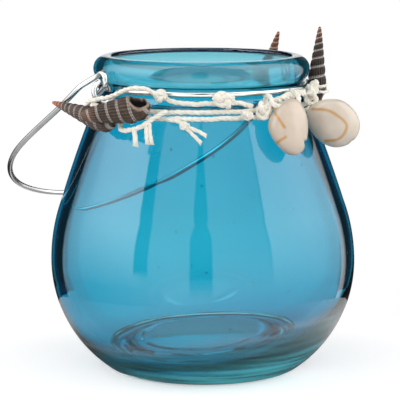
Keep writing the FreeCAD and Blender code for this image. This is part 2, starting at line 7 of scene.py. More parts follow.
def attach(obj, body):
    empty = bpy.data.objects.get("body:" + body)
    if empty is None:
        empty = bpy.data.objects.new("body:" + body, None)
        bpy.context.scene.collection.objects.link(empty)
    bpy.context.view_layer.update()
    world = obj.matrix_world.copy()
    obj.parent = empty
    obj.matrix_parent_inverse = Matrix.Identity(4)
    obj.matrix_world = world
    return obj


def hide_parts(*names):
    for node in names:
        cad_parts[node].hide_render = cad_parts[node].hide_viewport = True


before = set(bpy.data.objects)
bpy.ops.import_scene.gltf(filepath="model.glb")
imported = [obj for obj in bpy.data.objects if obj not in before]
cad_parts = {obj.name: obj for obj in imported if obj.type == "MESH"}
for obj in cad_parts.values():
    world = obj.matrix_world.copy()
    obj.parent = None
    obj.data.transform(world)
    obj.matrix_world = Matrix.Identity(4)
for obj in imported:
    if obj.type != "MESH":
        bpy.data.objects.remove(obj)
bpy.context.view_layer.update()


# Glass jar: one gather of blue soda-lime glass, blown in a mould, with its rim rolled over into
# a bead. The wall is thin and a little wavy, the base thick and uneven with a shallow push-up.
BODY_RADIUS = 0.0500
BELLY_HEIGHT = 0.03525
FOOT_RADIUS = 0.0311
FOOT_RING_WIDTH = 0.0036
PUSH_UP_DEPTH = 0.0040
SHOULDER_BEND = 0.0570
SHOULDER_SLOPE = math.radians(20.27)
NECK_HEIGHT = 0.0910
CONE_BEND = 0.4500
GROOVE_BEND = 0.0025
BEAD_OVERHANG = 0.00203
BEAD_ROUND = 0.0043
BEAD_RISE = 0.0073
BEAD_WRAP = math.radians(52)
RIM_WIDTH = 0.0060
LIP_ROUND = 0.0012
WALL = 0.0034
FLOOR_RADIUS = 0.0225
FLOOR_HEIGHT = 0.0085
THROAT_STEP = 0.0006
THROAT_RISE = 0.0036
THROAT_BEND = 0.0090
CHANNEL_DEPTH = 0.0026
THROAT_DROP = 0.0040
TROUGH_RADIUS = 0.0290
TROUGH_HEIGHT = 0.0058
FLOOR_SOFTENING = 0.0033
FOOT_SOFTENING = 0.0014
ARC_STEP = 0.0007
JAR_FACETS = 180
JAR_STEP = 0.0014
BEVEL_STEPS = 6

bend_radius = BODY_RADIUS - SHOULDER_BEND * (1 - math.cos(SHOULDER_SLOPE))
bend_height = BELLY_HEIGHT + SHOULDER_BEND * math.sin(SHOULDER_SLOPE)
neck_radius = bend_radius - (NECK_HEIGHT - bend_height) * math.tan(SHOULDER_SLOPE)
bead_x = neck_radius + BEAD_OVERHANG - BEAD_ROUND
bead_z = NECK_HEIGHT + BEAD_RISE
rim_top = bead_z + BEAD_ROUND
mouth_radius = neck_radius + BEAD_OVERHANG - RIM_WIDTH


def arc_center(start, end, radius, side):
    """Centre of an arc in the xz plane; side 1 turns left along it and -1 turns right."""
    chord = end - start
    across = Vector((-chord.z, 0, chord.x)).normalized()
    return (start + end) / 2 + across * side * math.sqrt(radius**2 - chord.length_squared / 4)


def lead_on(bm, vert, corner, radius=None, side=1):
    """Leads an outline from its last vertex to the next corner (x, z), straight or on an arc."""
    end = Vector((corner[0], 0, corner[1]))
    if radius is None:
        following = bmesh.ops.extrude_vert_indiv(bm, verts=[vert])["verts"][0]
        following.co = end
        return following
    center = arc_center(vert.co, end, radius, side)
    angle = (vert.co - center).angle(end - center)
    turned = bmesh.ops.spin(bm, geom=[vert], cent=center, axis=(0, 1, 0), angle=-side * angle,
                            steps=max(2, math.ceil(radius * angle / ARC_STEP)))
    return [item for item in turned["geom_last"] if isinstance(item, bmesh.types.BMVert)][0]


def split_long_edges(bm, longest):
    for edge in bm.edges[:]:
        cuts = math.ceil(edge.calc_length() / longest) - 1
        if cuts > 0:
            bmesh.ops.subdivide_edges(bm, edges=[edge], cuts=cuts)


def turn_round(bm, facets):
    """Spins an outline once round z and closes its poles."""
    bmesh.ops.spin(bm, geom=bm.verts[:] + bm.edges[:], cent=(0, 0, 0), axis=(0, 0, 1),
                   angle=2 * math.pi, steps=facets, use_merge=True)
    bmesh.ops.remove_doubles(bm, verts=bm.verts[:], dist=1e-6)
    bmesh.ops.dissolve_degenerate(bm, edges=bm.edges[:], dist=1e-7)
    bmesh.ops.recalc_face_normals(bm, faces=bm.faces[:])


def finish_mesh(bm, name):
    for face in bm.faces:
        face.smooth = True
    mesh = bpy.data.meshes.new(name)
    bm.to_mesh(mesh)
    bm.free()
    return mesh


def add_object(name, data, material):
    piece = bpy.data.objects.new(name, data)
    bpy.context.scene.collection.objects.link(piece)
    data.materials.append(material)
    return piece


def colour(code):
    """Linear colour of an sRGB hex value."""
    shares = [int(code[i:i + 2], 16) / 255 for i in (0, 2, 4)]
    return [s / 12.92 if s <= 0.04045 else ((s + 0.055) / 1.055)**2.4 for s in shares] + [1]


def feed_node(tree, node, feeds):
    """Sets or links a node's inputs. A feed is a value, a socket, or a node with its first output in use."""
    for name, feed in feeds.items():
        if isinstance(feed, bpy.types.Node):
            feed = next(output for output in feed.outputs if output.enabled)
        if isinstance(feed, bpy.types.NodeSocket):
            tree.links.new(feed, node.inputs[name])
        else:
            node.inputs[name].default_value = feed


def add_node(tree, kind, feeds={}, **settings):
    """Adds a node with its settings and feeds."""
    node = tree.nodes.new(kind)
    for name, setting in settings.items():
        setattr(node, name, setting)
    feed_node(tree, node, feeds)
    return node


def start_material(name):
    material = bpy.data.materials.new(name)
    material.use_nodes = True
    tree = material.node_tree
    return material, tree, tree.nodes["Principled BSDF"]


# Waves of the blown wall and of the floor, as height and length. The wall's stop short of foot and neck,
# and on the inside they are higher and shifted. The floor tilts to one side and back, and the jar leans.
WALL_WAVES = (0.00010, 0.030)
WAVE_MARGIN = 0.004
INNER_WAVES = 2
INNER_SHIFT = 7
FLOOR_WAVES = (0.00012, 0.012)
FLOOR_TILT = 0.0010
TILT_BACK = 0.4
TILT_REACH = 0.020
JAR_LEAN = -0.0072
# Seeds are bubbles in the wall: their count, sizes and heights, their depth as a share of the wall, the
# steps that scatter them, and how far they are drawn out
SEEDS = 90
SEED_SIZES = (0.00012, 0.00036)
SEED_HEIGHTS = (0.010, NECK_HEIGHT - 0.006)
SEED_DEPTHS = (0.25, 0.75)
SEED_STRIDE = 7919
SEED_SCATTER = (0.618, 0.382)
SEED_STRETCH = 1.7

bm = bmesh.new()
inside = bm.verts.layers.float.new("inside")
tip = bm.verts.new((0, 0, PUSH_UP_DEPTH))
foot_inner = FOOT_RADIUS - FOOT_RING_WIDTH
hollow_bend = (foot_inner**2 + PUSH_UP_DEPTH**2) / (2 * PUSH_UP_DEPTH)
tip = lead_on(bm, tip, (foot_inner, 0), hollow_bend, -1)
tip = lead_on(bm, tip, (FOOT_RADIUS, 0))
heel_in = BODY_RADIUS - FOOT_RADIUS
heel_bend = (heel_in**2 + BELLY_HEIGHT**2) / (2 * heel_in)
tip = lead_on(bm, tip, (BODY_RADIUS, BELLY_HEIGHT), heel_bend, 1)
tip = lead_on(bm, tip, (bend_radius, bend_height), SHOULDER_BEND, 1)
tip = lead_on(bm, tip, (neck_radius, NECK_HEIGHT), CONE_BEND, 1)
groove_start = tip.co.copy()
groove_end = Vector((bead_x + BEAD_ROUND * math.cos(BEAD_WRAP), 0, bead_z - BEAD_ROUND * math.sin(BEAD_WRAP)))
groove_center = arc_center(groove_start, groove_end, GROOVE_BEND, -1)
tip = lead_on(bm, tip, (groove_end.x, groove_end.z), GROOVE_BEND, -1)
tip = lead_on(bm, tip, (bead_x, rim_top), BEAD_ROUND, 1)
tip = lead_on(bm, tip, (mouth_radius + LIP_ROUND, rim_top))
tip = lead_on(bm, tip, (mouth_radius, rim_top - LIP_ROUND), LIP_ROUND, 1)
outer_count = len(bm.verts)
slant = math.tan(SHOULDER_SLOPE)
wall_across = WALL / math.cos(SHOULDER_SLOPE)
throat_radius = mouth_radius + THROAT_STEP
throat_height = NECK_HEIGHT + THROAT_RISE
channel = (Vector((mouth_radius, rim_top - LIP_ROUND)) - Vector((throat_radius, throat_height))).length / 2
channel_bend = (channel**2 + CHANNEL_DEPTH**2) / (2 * CHANNEL_DEPTH)
inner_height = NECK_HEIGHT - THROAT_DROP
inner_radius = neck_radius + THROAT_DROP * slant - wall_across
tip = lead_on(bm, tip, (throat_radius, throat_height), channel_bend, -1)
tip = lead_on(bm, tip, (inner_radius, inner_height), THROAT_BEND, 1)
tip = lead_on(bm, tip, (bend_radius - WALL * math.cos(SHOULDER_SLOPE),
                        bend_height - WALL * math.sin(SHOULDER_SLOPE)))
tip = lead_on(bm, tip, (BODY_RADIUS - WALL, BELLY_HEIGHT), SHOULDER_BEND - WALL, -1)
floor_in = BODY_RADIUS - WALL - TROUGH_RADIUS
floor_rise = BELLY_HEIGHT - TROUGH_HEIGHT
floor_bend = (floor_in**2 + floor_rise**2) / (2 * floor_in)
tip = lead_on(bm, tip, (TROUGH_RADIUS, TROUGH_HEIGHT), floor_bend, -1)
tip = lead_on(bm, tip, (FLOOR_RADIUS, FLOOR_HEIGHT))
tip = lead_on(bm, tip, (0, FLOOR_HEIGHT))
bm.verts.ensure_lookup_table()
for vert in bm.verts[outer_count:]:
    vert[inside] = 1
split_long_edges(bm, JAR_STEP)
turn_round(bm, JAR_FACETS)
for radius, height, softening in (
        (TROUGH_RADIUS, TROUGH_HEIGHT, FLOOR_SOFTENING), (FLOOR_RADIUS, FLOOR_HEIGHT, FLOOR_SOFTENING),
        (FOOT_RADIUS, 0, FOOT_SOFTENING), (foot_inner, 0, FOOT_SOFTENING)):
    corner = Vector((radius, height))
    ring = [edge for edge in bm.edges
            if all((Vector((v.co.xy.length, v.co.z)) - corner).length < 1e-5 for v in edge.verts)]
    bmesh.ops.bevel(bm, geom=ring, offset=softening, offset_type="OFFSET", affect="EDGES",
                    segments=BEVEL_STEPS, profile=0.5, material=-1)
for vert in bm.verts:
    within = vert[inside]
    swell = noise.noise(vert.co / WALL_WAVES[1] + Vector((0, 0, INNER_SHIFT * within))) * WALL_WAVES[0]
    flat = Vector((vert.co.x, vert.co.y, 0))
    if WAVE_MARGIN < vert.co.z < NECK_HEIGHT - WAVE_MARGIN:
        vert.co += flat.normalized() * swell * (INNER_WAVES if within else 1)
    if within:
        low = min(1, max(0, 1 - (vert.co.z - FLOOR_HEIGHT) / TILT_REACH))
        vert.co.z += low * FLOOR_TILT * (vert.co.x + TILT_BACK * vert.co.y) / FLOOR_RADIUS
        vert.co.z += low * FLOOR_WAVES[0] * noise.noise(flat / FLOOR_WAVES[1])
    vert.co.x += JAR_LEAN * (vert.co.z - bend_height)
bm.normal_update()
wall = [(vert.co.copy(), vert.normal.copy()) for vert in bm.verts
        if vert[inside] < 0.5 and SEED_HEIGHTS[0] < vert.co.z < SEED_HEIGHTS[1]]
seeds = bmesh.new()
for i in range(SEEDS):
    skin, out = wall[i * SEED_STRIDE % len(wall)]
    depth_share, size_share = [i * step % 1 for step in SEED_SCATTER]
    depth = WALL * (SEED_DEPTHS[0] + (SEED_DEPTHS[1] - SEED_DEPTHS[0]) * depth_share)
    size = SEED_SIZES[0] + (SEED_SIZES[1] - SEED_SIZES[0]) * size_share**2
    seat = Matrix.Translation(skin - out * depth) @ Matrix.Diagonal((1, 1, SEED_STRETCH, 1))
    bmesh.ops.create_icosphere(seeds, subdivisions=2, radius=size, matrix=seat)
bmesh.ops.reverse_faces(seeds, faces=seeds.faces[:])
bm.from_mesh(finish_mesh(seeds, "seeds"))
jar_mesh = finish_mesh(bm, "glass_jar")

# Blue soda-lime glass takes red first, so thick edges go navy and the thin wall stays cyan
GLASS_IOR = 1.5
GLASS_COLOUR = (0.06, 0.785, 0.873, 1)
GLASS_ABSORPTION = 600.0
WHITE = colour("ffffff")
# Painted light: a teal film on the front of the thick heel, in level streaks and higher at the right, stands
# in for the floor's light seen through the heel. Its two heights and its strength at each come first, then
# its rise, its upper edge, its reach to the back and tint.
HEEL_LIGHT_FILM = (0.002, 0.008, 0.75, 0.20)
HEEL_RISE = 0.15
HEEL_EDGE = (0.012, 0.020)
HEEL_FRONT = (-0.020, -0.005)
HEEL_LIGHT_TINT = "4fa7b2"
FOOT_MARGIN = 0.0005
STREAK = (0.030, 0.030, 0.0018)
STREAK_STRENGTH = (0.4, 1.3)
# Painted light: a pale film inside the mouth lightens it, the far half more than the near one
MOUTH_LIGHT_FILM = 0.30
MOUTH_LIGHT_HEIGHTS = (NECK_HEIGHT - 0.003, NECK_HEIGHT + 0.002)
MOUTH_LIGHT_FRONT = (-0.014, 0.014, 0.35)
# A hard clear film of scale on the inner floor mirrors more of the far wall than bare glass does
SCALE_EDGE = 0.0010
SCALE_IOR = 2.4
glass, tree, shader = start_material("blue soda-lime glass")
place = add_node(tree, "ShaderNodeTexCoord").outputs["Object"]
parts = add_node(tree, "ShaderNodeSeparateXYZ", {"Vector": place})
inner = add_node(tree, "ShaderNodeAttribute", attribute_name="inside").outputs["Fac"]
level = add_node(tree, "ShaderNodeVectorMath", {0: place, 1: [1 / size for size in STREAK]},
                 operation="MULTIPLY")
streaks = add_node(tree, "ShaderNodeTexNoise", {"Vector": level, "Scale": 1.0, "Detail": 3.0})
streaks = add_node(tree, "ShaderNodeMapRange", {"Value": streaks, "From Min": 0.35, "From Max": 0.65,
                                                "To Min": STREAK_STRENGTH[0], "To Max": STREAK_STRENGTH[1]})
lifted = add_node(tree, "ShaderNodeMath", {0: parts.outputs["X"], 1: -HEEL_RISE, 2: parts.outputs["Z"]},
                  operation="MULTIPLY_ADD")
# Painted light: the heel's teal film, on the front of the heel only, in level streaks
heel = add_node(tree, "ShaderNodeMapRange", {"Value": lifted, "From Min": HEEL_LIGHT_FILM[0],
                                             "From Max": HEEL_LIGHT_FILM[1], "To Min": HEEL_LIGHT_FILM[2],
                                             "To Max": HEEL_LIGHT_FILM[3]}, interpolation_type="SMOOTHSTEP")
low = add_node(tree, "ShaderNodeMapRange", {"Value": lifted, "From Min": HEEL_EDGE[0],
                                            "From Max": HEEL_EDGE[1], "To Min": 1.0, "To Max": 0.0},
               interpolation_type="SMOOTHSTEP")
outer = add_node(tree, "ShaderNodeMath", {0: 1.0, 1: inner}, operation="SUBTRACT")
low = add_node(tree, "ShaderNodeMath", {0: low, 1: outer}, operation="MULTIPLY")
front = add_node(tree, "ShaderNodeMapRange", {"Value": parts.outputs["Y"], "From Min": HEEL_FRONT[0],
                                              "From Max": HEEL_FRONT[1], "To Min": 1.0, "To Max": 0.0})
low = add_node(tree, "ShaderNodeMath", {0: low, 1: front}, operation="MULTIPLY")
flat = add_node(tree, "ShaderNodeVectorMath", {0: place, 1: (1, 1, 0)}, operation="MULTIPLY")
reach = add_node(tree, "ShaderNodeVectorMath", {0: flat}, operation="LENGTH")
beyond = add_node(tree, "ShaderNodeMath", {0: reach, 1: FOOT_RADIUS - FOOT_MARGIN}, operation="GREATER_THAN")
low = add_node(tree, "ShaderNodeMath", {0: low, 1: beyond}, operation="MULTIPLY")
heel = add_node(tree, "ShaderNodeMath", {0: heel, 1: low}, operation="MULTIPLY")
heel = add_node(tree, "ShaderNodeMath", {0: heel, 1: streaks}, operation="MULTIPLY")
# Painted light: the pale film inside the mouth, more on its far half
mouth_light_film = add_node(tree, "ShaderNodeMapRange", {"Value": parts.outputs["Z"], "From Min": MOUTH_LIGHT_HEIGHTS[0],
                                              "From Max": MOUTH_LIGHT_HEIGHTS[1], "To Max": MOUTH_LIGHT_FILM})
mouth_light_film = add_node(tree, "ShaderNodeMath", {0: mouth_light_film, 1: inner}, operation="MULTIPLY")
rear = add_node(tree, "ShaderNodeMapRange", {"Value": parts.outputs["Y"], "From Min": MOUTH_LIGHT_FRONT[0],
                                             "From Max": MOUTH_LIGHT_FRONT[1], "To Min": MOUTH_LIGHT_FRONT[2]})
mouth_light_film = add_node(tree, "ShaderNodeMath", {0: mouth_light_film, 1: rear}, operation="MULTIPLY")
film = add_node(tree, "ShaderNodeMath", {0: heel, 1: mouth_light_film}, operation="ADD")
clear = add_node(tree, "ShaderNodeMath", {0: 1.0, 1: film}, operation="SUBTRACT")
scale = add_node(tree, "ShaderNodeMapRange", {"Value": reach, "From Min": FLOOR_RADIUS - SCALE_EDGE,
                                              "From Max": FLOOR_RADIUS + SCALE_EDGE, "To Min": 1.0,
                                              "To Max": 0.0})
scale = add_node(tree, "ShaderNodeMath", {0: scale, 1: inner}, operation="MULTIPLY")
# The heel's painted light tints the glass's base colour teal
tint = add_node(tree, "ShaderNodeMix", {"Factor": low, 6: WHITE, 7: colour(HEEL_LIGHT_TINT)}, data_type="RGBA")
depth = add_node(tree, "ShaderNodeVolumeAbsorption", {"Color": GLASS_COLOUR, "Density": GLASS_ABSORPTION})
feed_node(tree, shader, {"Base Color": tint, "Roughness": 0.0, "IOR": GLASS_IOR, "Transmission Weight": clear,
                         "Coat Weight": scale, "Coat IOR": SCALE_IOR, "Coat Roughness": 0.0})
feed_node(tree, tree.nodes["Material Output"], {"Volume": depth})
jar = add_object("blown_jar", jar_mesh, glass)
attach(jar, "jar")
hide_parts("glass_jar")


# Neck wire: galvanised steel wire laid in the groove under the bead, curled once into an eye on
# each side of the jar, with its two ends butted at the back.
NECK_WIRE_RADIUS = 0.0009
WIRE_SEAT_GAP = 0.0003
EYE_RADIUS = 0.0033
EYE_SPREAD = 0.0060
EYE_TOP_SHARE = 0.3675
EYE_LIFT = 0.0010
EYE_DROP = 0.0004
EYE_AZIMUTH = -56.84
WIRE_END_AZIMUTH = 146.0
WIRE_END_GAP = 0.0008
WIRE_END_SHARE = 0.7
RING_STEP = 2
EYE_POINTS = 60
ring_radius = groove_center.x - GROOVE_BEND + NECK_WIRE_RADIUS + WIRE_SEAT_GAP
UP = Vector((0, 0, 1))


def outward(azimuth):
    """Level direction away from the jar's axis; azimuth 0 is the front and 90 the right."""
    angle = math.radians(azimuth)
    return Vector((math.sin(angle), -math.cos(angle), 0))


def eye_point(azimuth, at):
    """The eye's curl: the wire turns once about a line along the neck as it passes by."""
    turn = 2 * math.pi * at - math.sin(2 * math.pi * at)
    drawn = math.sin(math.pi * at)**2
    along = EYE_SPREAD * (at - EYE_TOP_SHARE)
    radius = ring_radius + EYE_LIFT * drawn + EYE_RADIUS * (1 - math.cos(turn))
    height = groove_center.z - EYE_DROP * drawn + EYE_RADIUS * math.sin(turn)
    return outward(azimuth + math.degrees(along / ring_radius)) * radius + UP * height


def wire_curve(name, lines, radius, sides=5):
    """Round wire, or strands, along lines of points. A line's points may carry a thickness."""
    curve = bpy.data.curves.new(name, "CURVE")
    curve.dimensions = "3D"
    curve.bevel_depth = radius
    curve.bevel_resolution = sides
    curve.use_fill_caps = True
    for line in lines:
        spline = curve.splines.new("POLY")
        spline.points.add(len(line) - 1)
        for point, place in zip(spline.points, line):
            point.co = (*place[:3], 1)
            point.radius = place[3] if len(place) > 3 else 1
    return curve


def as_mesh(curve):
    """A curve's tube as a mesh."""
    holder = bpy.data.objects.new(curve.name, curve)
    mesh = bpy.data.meshes.new_from_object(holder)
    bpy.data.objects.remove(holder)
    mesh.name = curve.name
    bpy.data.curves.remove(curve)
    mesh.shade_smooth()
    return mesh


def ring_line(first, last):
    """Points along the groove between two azimuths, without the two ends."""
    count = max(2, round((last - first) / RING_STEP))
    turns = [first + (last - first) * i / count for i in range(1, count)]
    return [outward(azimuth) * ring_radius + UP * groove_center.z for azimuth in turns]


def round_ends(line):
    """Draws a wire's two cut ends in to a slight dome."""
    rounded = [Vector((*place, 1)) for place in line]
    for end in (0, -1):
        rounded[end][3] = WIRE_END_SHARE
    return rounded


def set_ramp(node, stops):
    """Sets a ramp's stops from (position, colour) pairs."""
    elements = node.color_ramp.elements
    for number, (position, tone) in enumerate(stops):
        stop = elements[number] if number < 2 else elements.new(position)
        stop.position = position
        stop.color = tone


before = math.degrees(EYE_SPREAD * EYE_TOP_SHARE / ring_radius)
after = math.degrees(EYE_SPREAD * (1 - EYE_TOP_SHARE) / ring_radius)
wire_start = WIRE_END_AZIMUTH - 360 + math.degrees(WIRE_END_GAP / ring_radius)
wire_line = []
ring_from = wire_start
for eye in (EYE_AZIMUTH, EYE_AZIMUTH + 180):
    wire_line += ring_line(ring_from, eye - before)
    wire_line += [eye_point(eye, i / EYE_POINTS) for i in range(EYE_POINTS + 1)]
    ring_from = eye + after
wire_line += ring_line(ring_from, WIRE_END_AZIMUTH)

# Galvanised wire is bright zinc, drawn smooth, with faint spangle and dulled patches
SPANGLE = 0.0060
ZINC_TONES = ((0.3, colour("c2c5c4")), (0.7, colour("d9dad8")))
ZINC_ROUGHNESS = (0.24, 0.16)
zinc, tree, shader = start_material("galvanised steel wire")
place = add_node(tree, "ShaderNodeTexCoord").outputs["Object"]
spangle = add_node(tree, "ShaderNodeTexNoise", {"Vector": place, "Scale": 1 / SPANGLE, "Detail": 3.0})
tone = add_node(tree, "ShaderNodeValToRGB", {"Fac": spangle})
set_ramp(tone, ZINC_TONES)
dulled = add_node(tree, "ShaderNodeMapRange", {"Value": spangle, "To Min": ZINC_ROUGHNESS[0],
                                               "To Max": ZINC_ROUGHNESS[1]})
feed_node(tree, shader, {"Base Color": tone, "Roughness": dulled, "Metallic": 1.0})
wire_mesh = as_mesh(wire_curve("neck_wire", [round_ends(wire_line)], NECK_WIRE_RADIUS))
neck_wire = add_object("neck_wire_ring", wire_mesh, zinc)
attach(neck_wire, "jar")
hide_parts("neck_wire")


# Bail: one length of the same wire bent by hand into a round crown and two flared legs, each
# ending in an open hook that turns round the top bar of an eye and stops in a cut stub.
BAIL_DROOP = math.radians(32.05)
BAIL_RADIUS = 0.0009
PIVOT_GAP = 0.0001
HOOK_RADIUS = 0.0025
HOOK_OUTSET = 0.0002
HOOK_STUB = 0.0045
BAIL_OFFSET = 0.0007
FLARE = (0.0043, 0.0086)
WAIST = (0.0061, 0.0200)
CROWN = (0.0083, 0.0461)
FLARE_LEAN = 0.3
FLARE_DIP = 0.2
STUB_POINTS = 6
HOOK_POINTS = 16
LEG_POINTS = 14
CROWN_POINTS = 72
bail_side = outward(EYE_AZIMUTH)
bail_back = bail_side.cross(UP)
bail_reach = bail_back * math.cos(BAIL_DROOP) - UP * math.sin(BAIL_DROOP)
bail_over = bail_back * math.sin(BAIL_DROOP) + UP * math.cos(BAIL_DROOP)
eye_top = eye_point(EYE_AZIMUTH, EYE_TOP_SHARE)
pivot = UP * (eye_top.z + PIVOT_GAP)
hook_across = eye_top.dot(bail_side) + HOOK_OUTSET
crown_radius = hook_across + CROWN[0]


def bail_way(across, reach, over):
    return bail_side * across + bail_reach * reach + bail_over * over


def bent_line(stations, count):
    """A smooth bend through (point, direction) stations, as points."""
    line = []
    for (start, leaving), (end, arriving) in zip(stations, stations[1:]):
        pull = (end - start).length / 3
        knees = (start + leaving.normalized() * pull, end - arriving.normalized() * pull)
        for i in range(count):
            t = i / count
            line.append(start * (1 - t)**3 + knees[0] * 3 * t * (1 - t)**2
                        + knees[1] * 3 * t**2 * (1 - t) + end * t**3)
    return line


def bail_leg(side):
    """From a foot's stub round its hook and up the leg to where the crown begins."""
    line = [pivot + bail_way(side * hook_across, HOOK_STUB * (1 - i / STUB_POINTS), -HOOK_RADIUS)
            for i in range(STUB_POINTS)]
    for i in range(HOOK_POINTS):
        angle = math.pi * i / HOOK_POINTS
        line.append(pivot + bail_way(side * hook_across, -HOOK_RADIUS * math.sin(angle),
                                     -HOOK_RADIUS * math.cos(angle)))
    waist = hook_across + WAIST[0]
    spread = (crown_radius - waist) / (CROWN[1] - WAIST[1])
    stations = [
        (bail_way(side * hook_across, 0, HOOK_RADIUS), bail_way(0, 1, 0)),
        (bail_way(side * (hook_across + FLARE[0]), FLARE[1], (HOOK_RADIUS + BAIL_OFFSET) / 2),
         bail_way(side * FLARE_LEAN, 1, -FLARE_DIP)),
        (bail_way(side * waist, WAIST[1], BAIL_OFFSET), bail_way(side * spread, 1, 0)),
        (bail_way(side * crown_radius, CROWN[1], BAIL_OFFSET), bail_way(0, 1, 0)),
    ]
    return line + [pivot + place for place in bent_line(stations, LEG_POINTS)]


crown_line = []
for i in range(CROWN_POINTS + 1):
    angle = math.pi * i / CROWN_POINTS
    crown_line.append(pivot + bail_way(crown_radius * math.cos(angle),
                                       CROWN[1] + crown_radius * math.sin(angle), BAIL_OFFSET))
bail_line = bail_leg(1) + crown_line + bail_leg(-1)[::-1]
bail = add_object("wire_bail", as_mesh(wire_curve("bail", [round_ends(bail_line)], BAIL_RADIUS)), zinc)
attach(bail, "bail")
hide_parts("bail_handle")


# Neck cord: cream cotton cord of three soft plies, wound twice round the shoulder under the neck
# wire. The same cord makes every run, tie and knot on the jar, tied by hand and a little slack.
CORD_RADIUS = 0.0008
CORD_SEAT_GAP = 0.00005
CORD_LAY = 0.0058
LAY_POINTS = 14
CORD_WANDER = 0.00030
# Blender draws the wander's noise from the clock unless it has a seed
WANDER_SEED = 1
noise.seed_set(WANDER_SEED)
# The plies' distance from the cord's middle and their radius, as shares of the cord's, how far each goes
# slack and swells, and how many times in a metre the cord wanders, turns unevenly, goes slack and swells
PLY_OFFSET = 0.46
PLY_RADIUS = 0.57
PLY_SLACK = 0.3
PLY_SWELL = 0.2
PLY_SIDES = 2
PLY_SHIFTS = (3.1, 2.7)
UNEVEN = (300, 500, 700, 900)
PHASE_STEP = 1.3
# Loose fibres at a cut end: their count, the turn from one to the next, their reach in cord radii, and along
# each its share of that reach, its lean outwards and its thickness
FRAY_FIBRES = 22
FRAY_TURN = 2.4
FRAY_REACH = (0.5, 0.8, 5.1)
FRAY_ROOT = (0.4, 0.8)
FRAY_POINTS = ((0.0, 0.0, 0.30), (0.6, 0.15, 0.26), (1.0, 0.5, 0.14))
WINDING_TURNS = 2.0
WINDING_PITCH = 0.00195
WINDING_DROP = 0.0032
WINDING_AZIMUTH = 72.0
POINTS_PER_TURN = 24
cord_seat = CORD_RADIUS / math.cos(SHOULDER_SLOPE) + CORD_SEAT_GAP


def beside_glass(azimuth, drop, standoff):
    """A point beside the shoulder: azimuth, drop below the neck's foot, distance off the glass."""
    return outward(azimuth) * (neck_radius + drop * slant + standoff) + UP * (NECK_HEIGHT - drop)


def route_line(places, closed=False):
    """The smooth line that a cord takes along its route's points."""
    route = bpy.data.curves.new("route", "CURVE")
    route.dimensions = "3D"
    route.resolution_u = 12
    spline = route.splines.new("NURBS")
    spline.points.add(len(places) - 1)
    for point, place in zip(spline.points, places):
        point.co = (*place, 1)
    spline.order_u = 3
    spline.use_endpoint_u = not closed
    spline.use_cyclic_u = closed
    holder = bpy.data.objects.new("route", route)
    mesh = bpy.data.meshes.new_from_object(holder)
    line = [vert.co.copy() for vert in mesh.vertices]
    bpy.data.objects.remove(holder)
    bpy.data.curves.remove(route)
    bpy.data.meshes.remove(mesh)
    return line + line[:1] if closed else line


def even_steps(line, step):
    """Points one step apart along a line."""
    even = [line[0]]
    left = step
    for start, end in zip(line, line[1:]):
        run = (end - start).length
        while left <= run:
            even.append(start.lerp(end, left / run))
            left += step
        left -= run
    return even


def laid_plies(line, radius, count=3, lay=CORD_LAY, phase=0.0):
    """The twisted plies of a cord along its line, slack and uneven, each as a line of points."""
    wander_rate, turn_rate, slack_rate, swell_rate = UNEVEN
    line = even_steps(line, lay / LAY_POINTS)
    line = [place + noise.noise_vector(place * wander_rate) * CORD_WANDER for place in line]
    ahead = (line[1] - line[0]).normalized()
    beside = ahead.orthogonal().normalized()
    plies = [[] for i in range(count)]
    for i, place in enumerate(line):
        before, following = line[max(0, i - 1)], line[min(len(line) - 1, i + 1)]
        ahead = (following - before).normalized()
        beside = (beside - ahead * beside.dot(ahead)).normalized()
        across = ahead.cross(beside)
        for ply in range(count):
            angle = phase + 2 * math.pi * (i / LAY_POINTS + ply / count) + noise.noise(place * turn_rate)
            slack_place = place * slack_rate + Vector((ply * PLY_SHIFTS[0], 0, 0))
            slack = 1 + PLY_SLACK * noise.noise(slack_place)
            aside = beside * math.cos(angle) + across * math.sin(angle)
            swell_place = place * swell_rate + Vector((0, ply * PLY_SHIFTS[1], 0))
            thickness = 1 + PLY_SWELL * noise.noise(swell_place)
            plies[ply].append(Vector((*(place + aside * radius * PLY_OFFSET * slack), thickness)))
    return plies


def frayed_end(line, radius):
    """Loose fibres at a cord's cut end."""
    ahead = (line[-1] - line[-4]).normalized()
    beside = ahead.orthogonal().normalized()
    across = ahead.cross(beside)
    least, more, beat = FRAY_REACH
    fibres = []
    for i in range(FRAY_FIBRES):
        angle = FRAY_TURN * i
        spread = math.sqrt((i + 0.5) / FRAY_FIBRES)
        aside = (beside * math.cos(angle) + across * math.sin(angle)) * radius * spread
        reach = radius * (least + more * abs(math.sin(beat * i)))
        start = line[-1] - ahead * radius * FRAY_ROOT[0] + aside * FRAY_ROOT[1]
        fibres.append([Vector((*(start + ahead * reach * share + aside * lean), thickness))
                       for share, lean, thickness in FRAY_POINTS])
    return fibres


def cord_mesh(name, lines, radius=CORD_RADIUS, frayed=False):
    """Three-ply cord along one or more lines, as one mesh."""
    plies = []
    for number, line in enumerate(lines):
        plies += laid_plies(line, radius, phase=number * PHASE_STEP)
        if frayed:
            plies += frayed_end(line, radius)
    return as_mesh(wire_curve(name, plies, radius * PLY_RADIUS, PLY_SIDES))


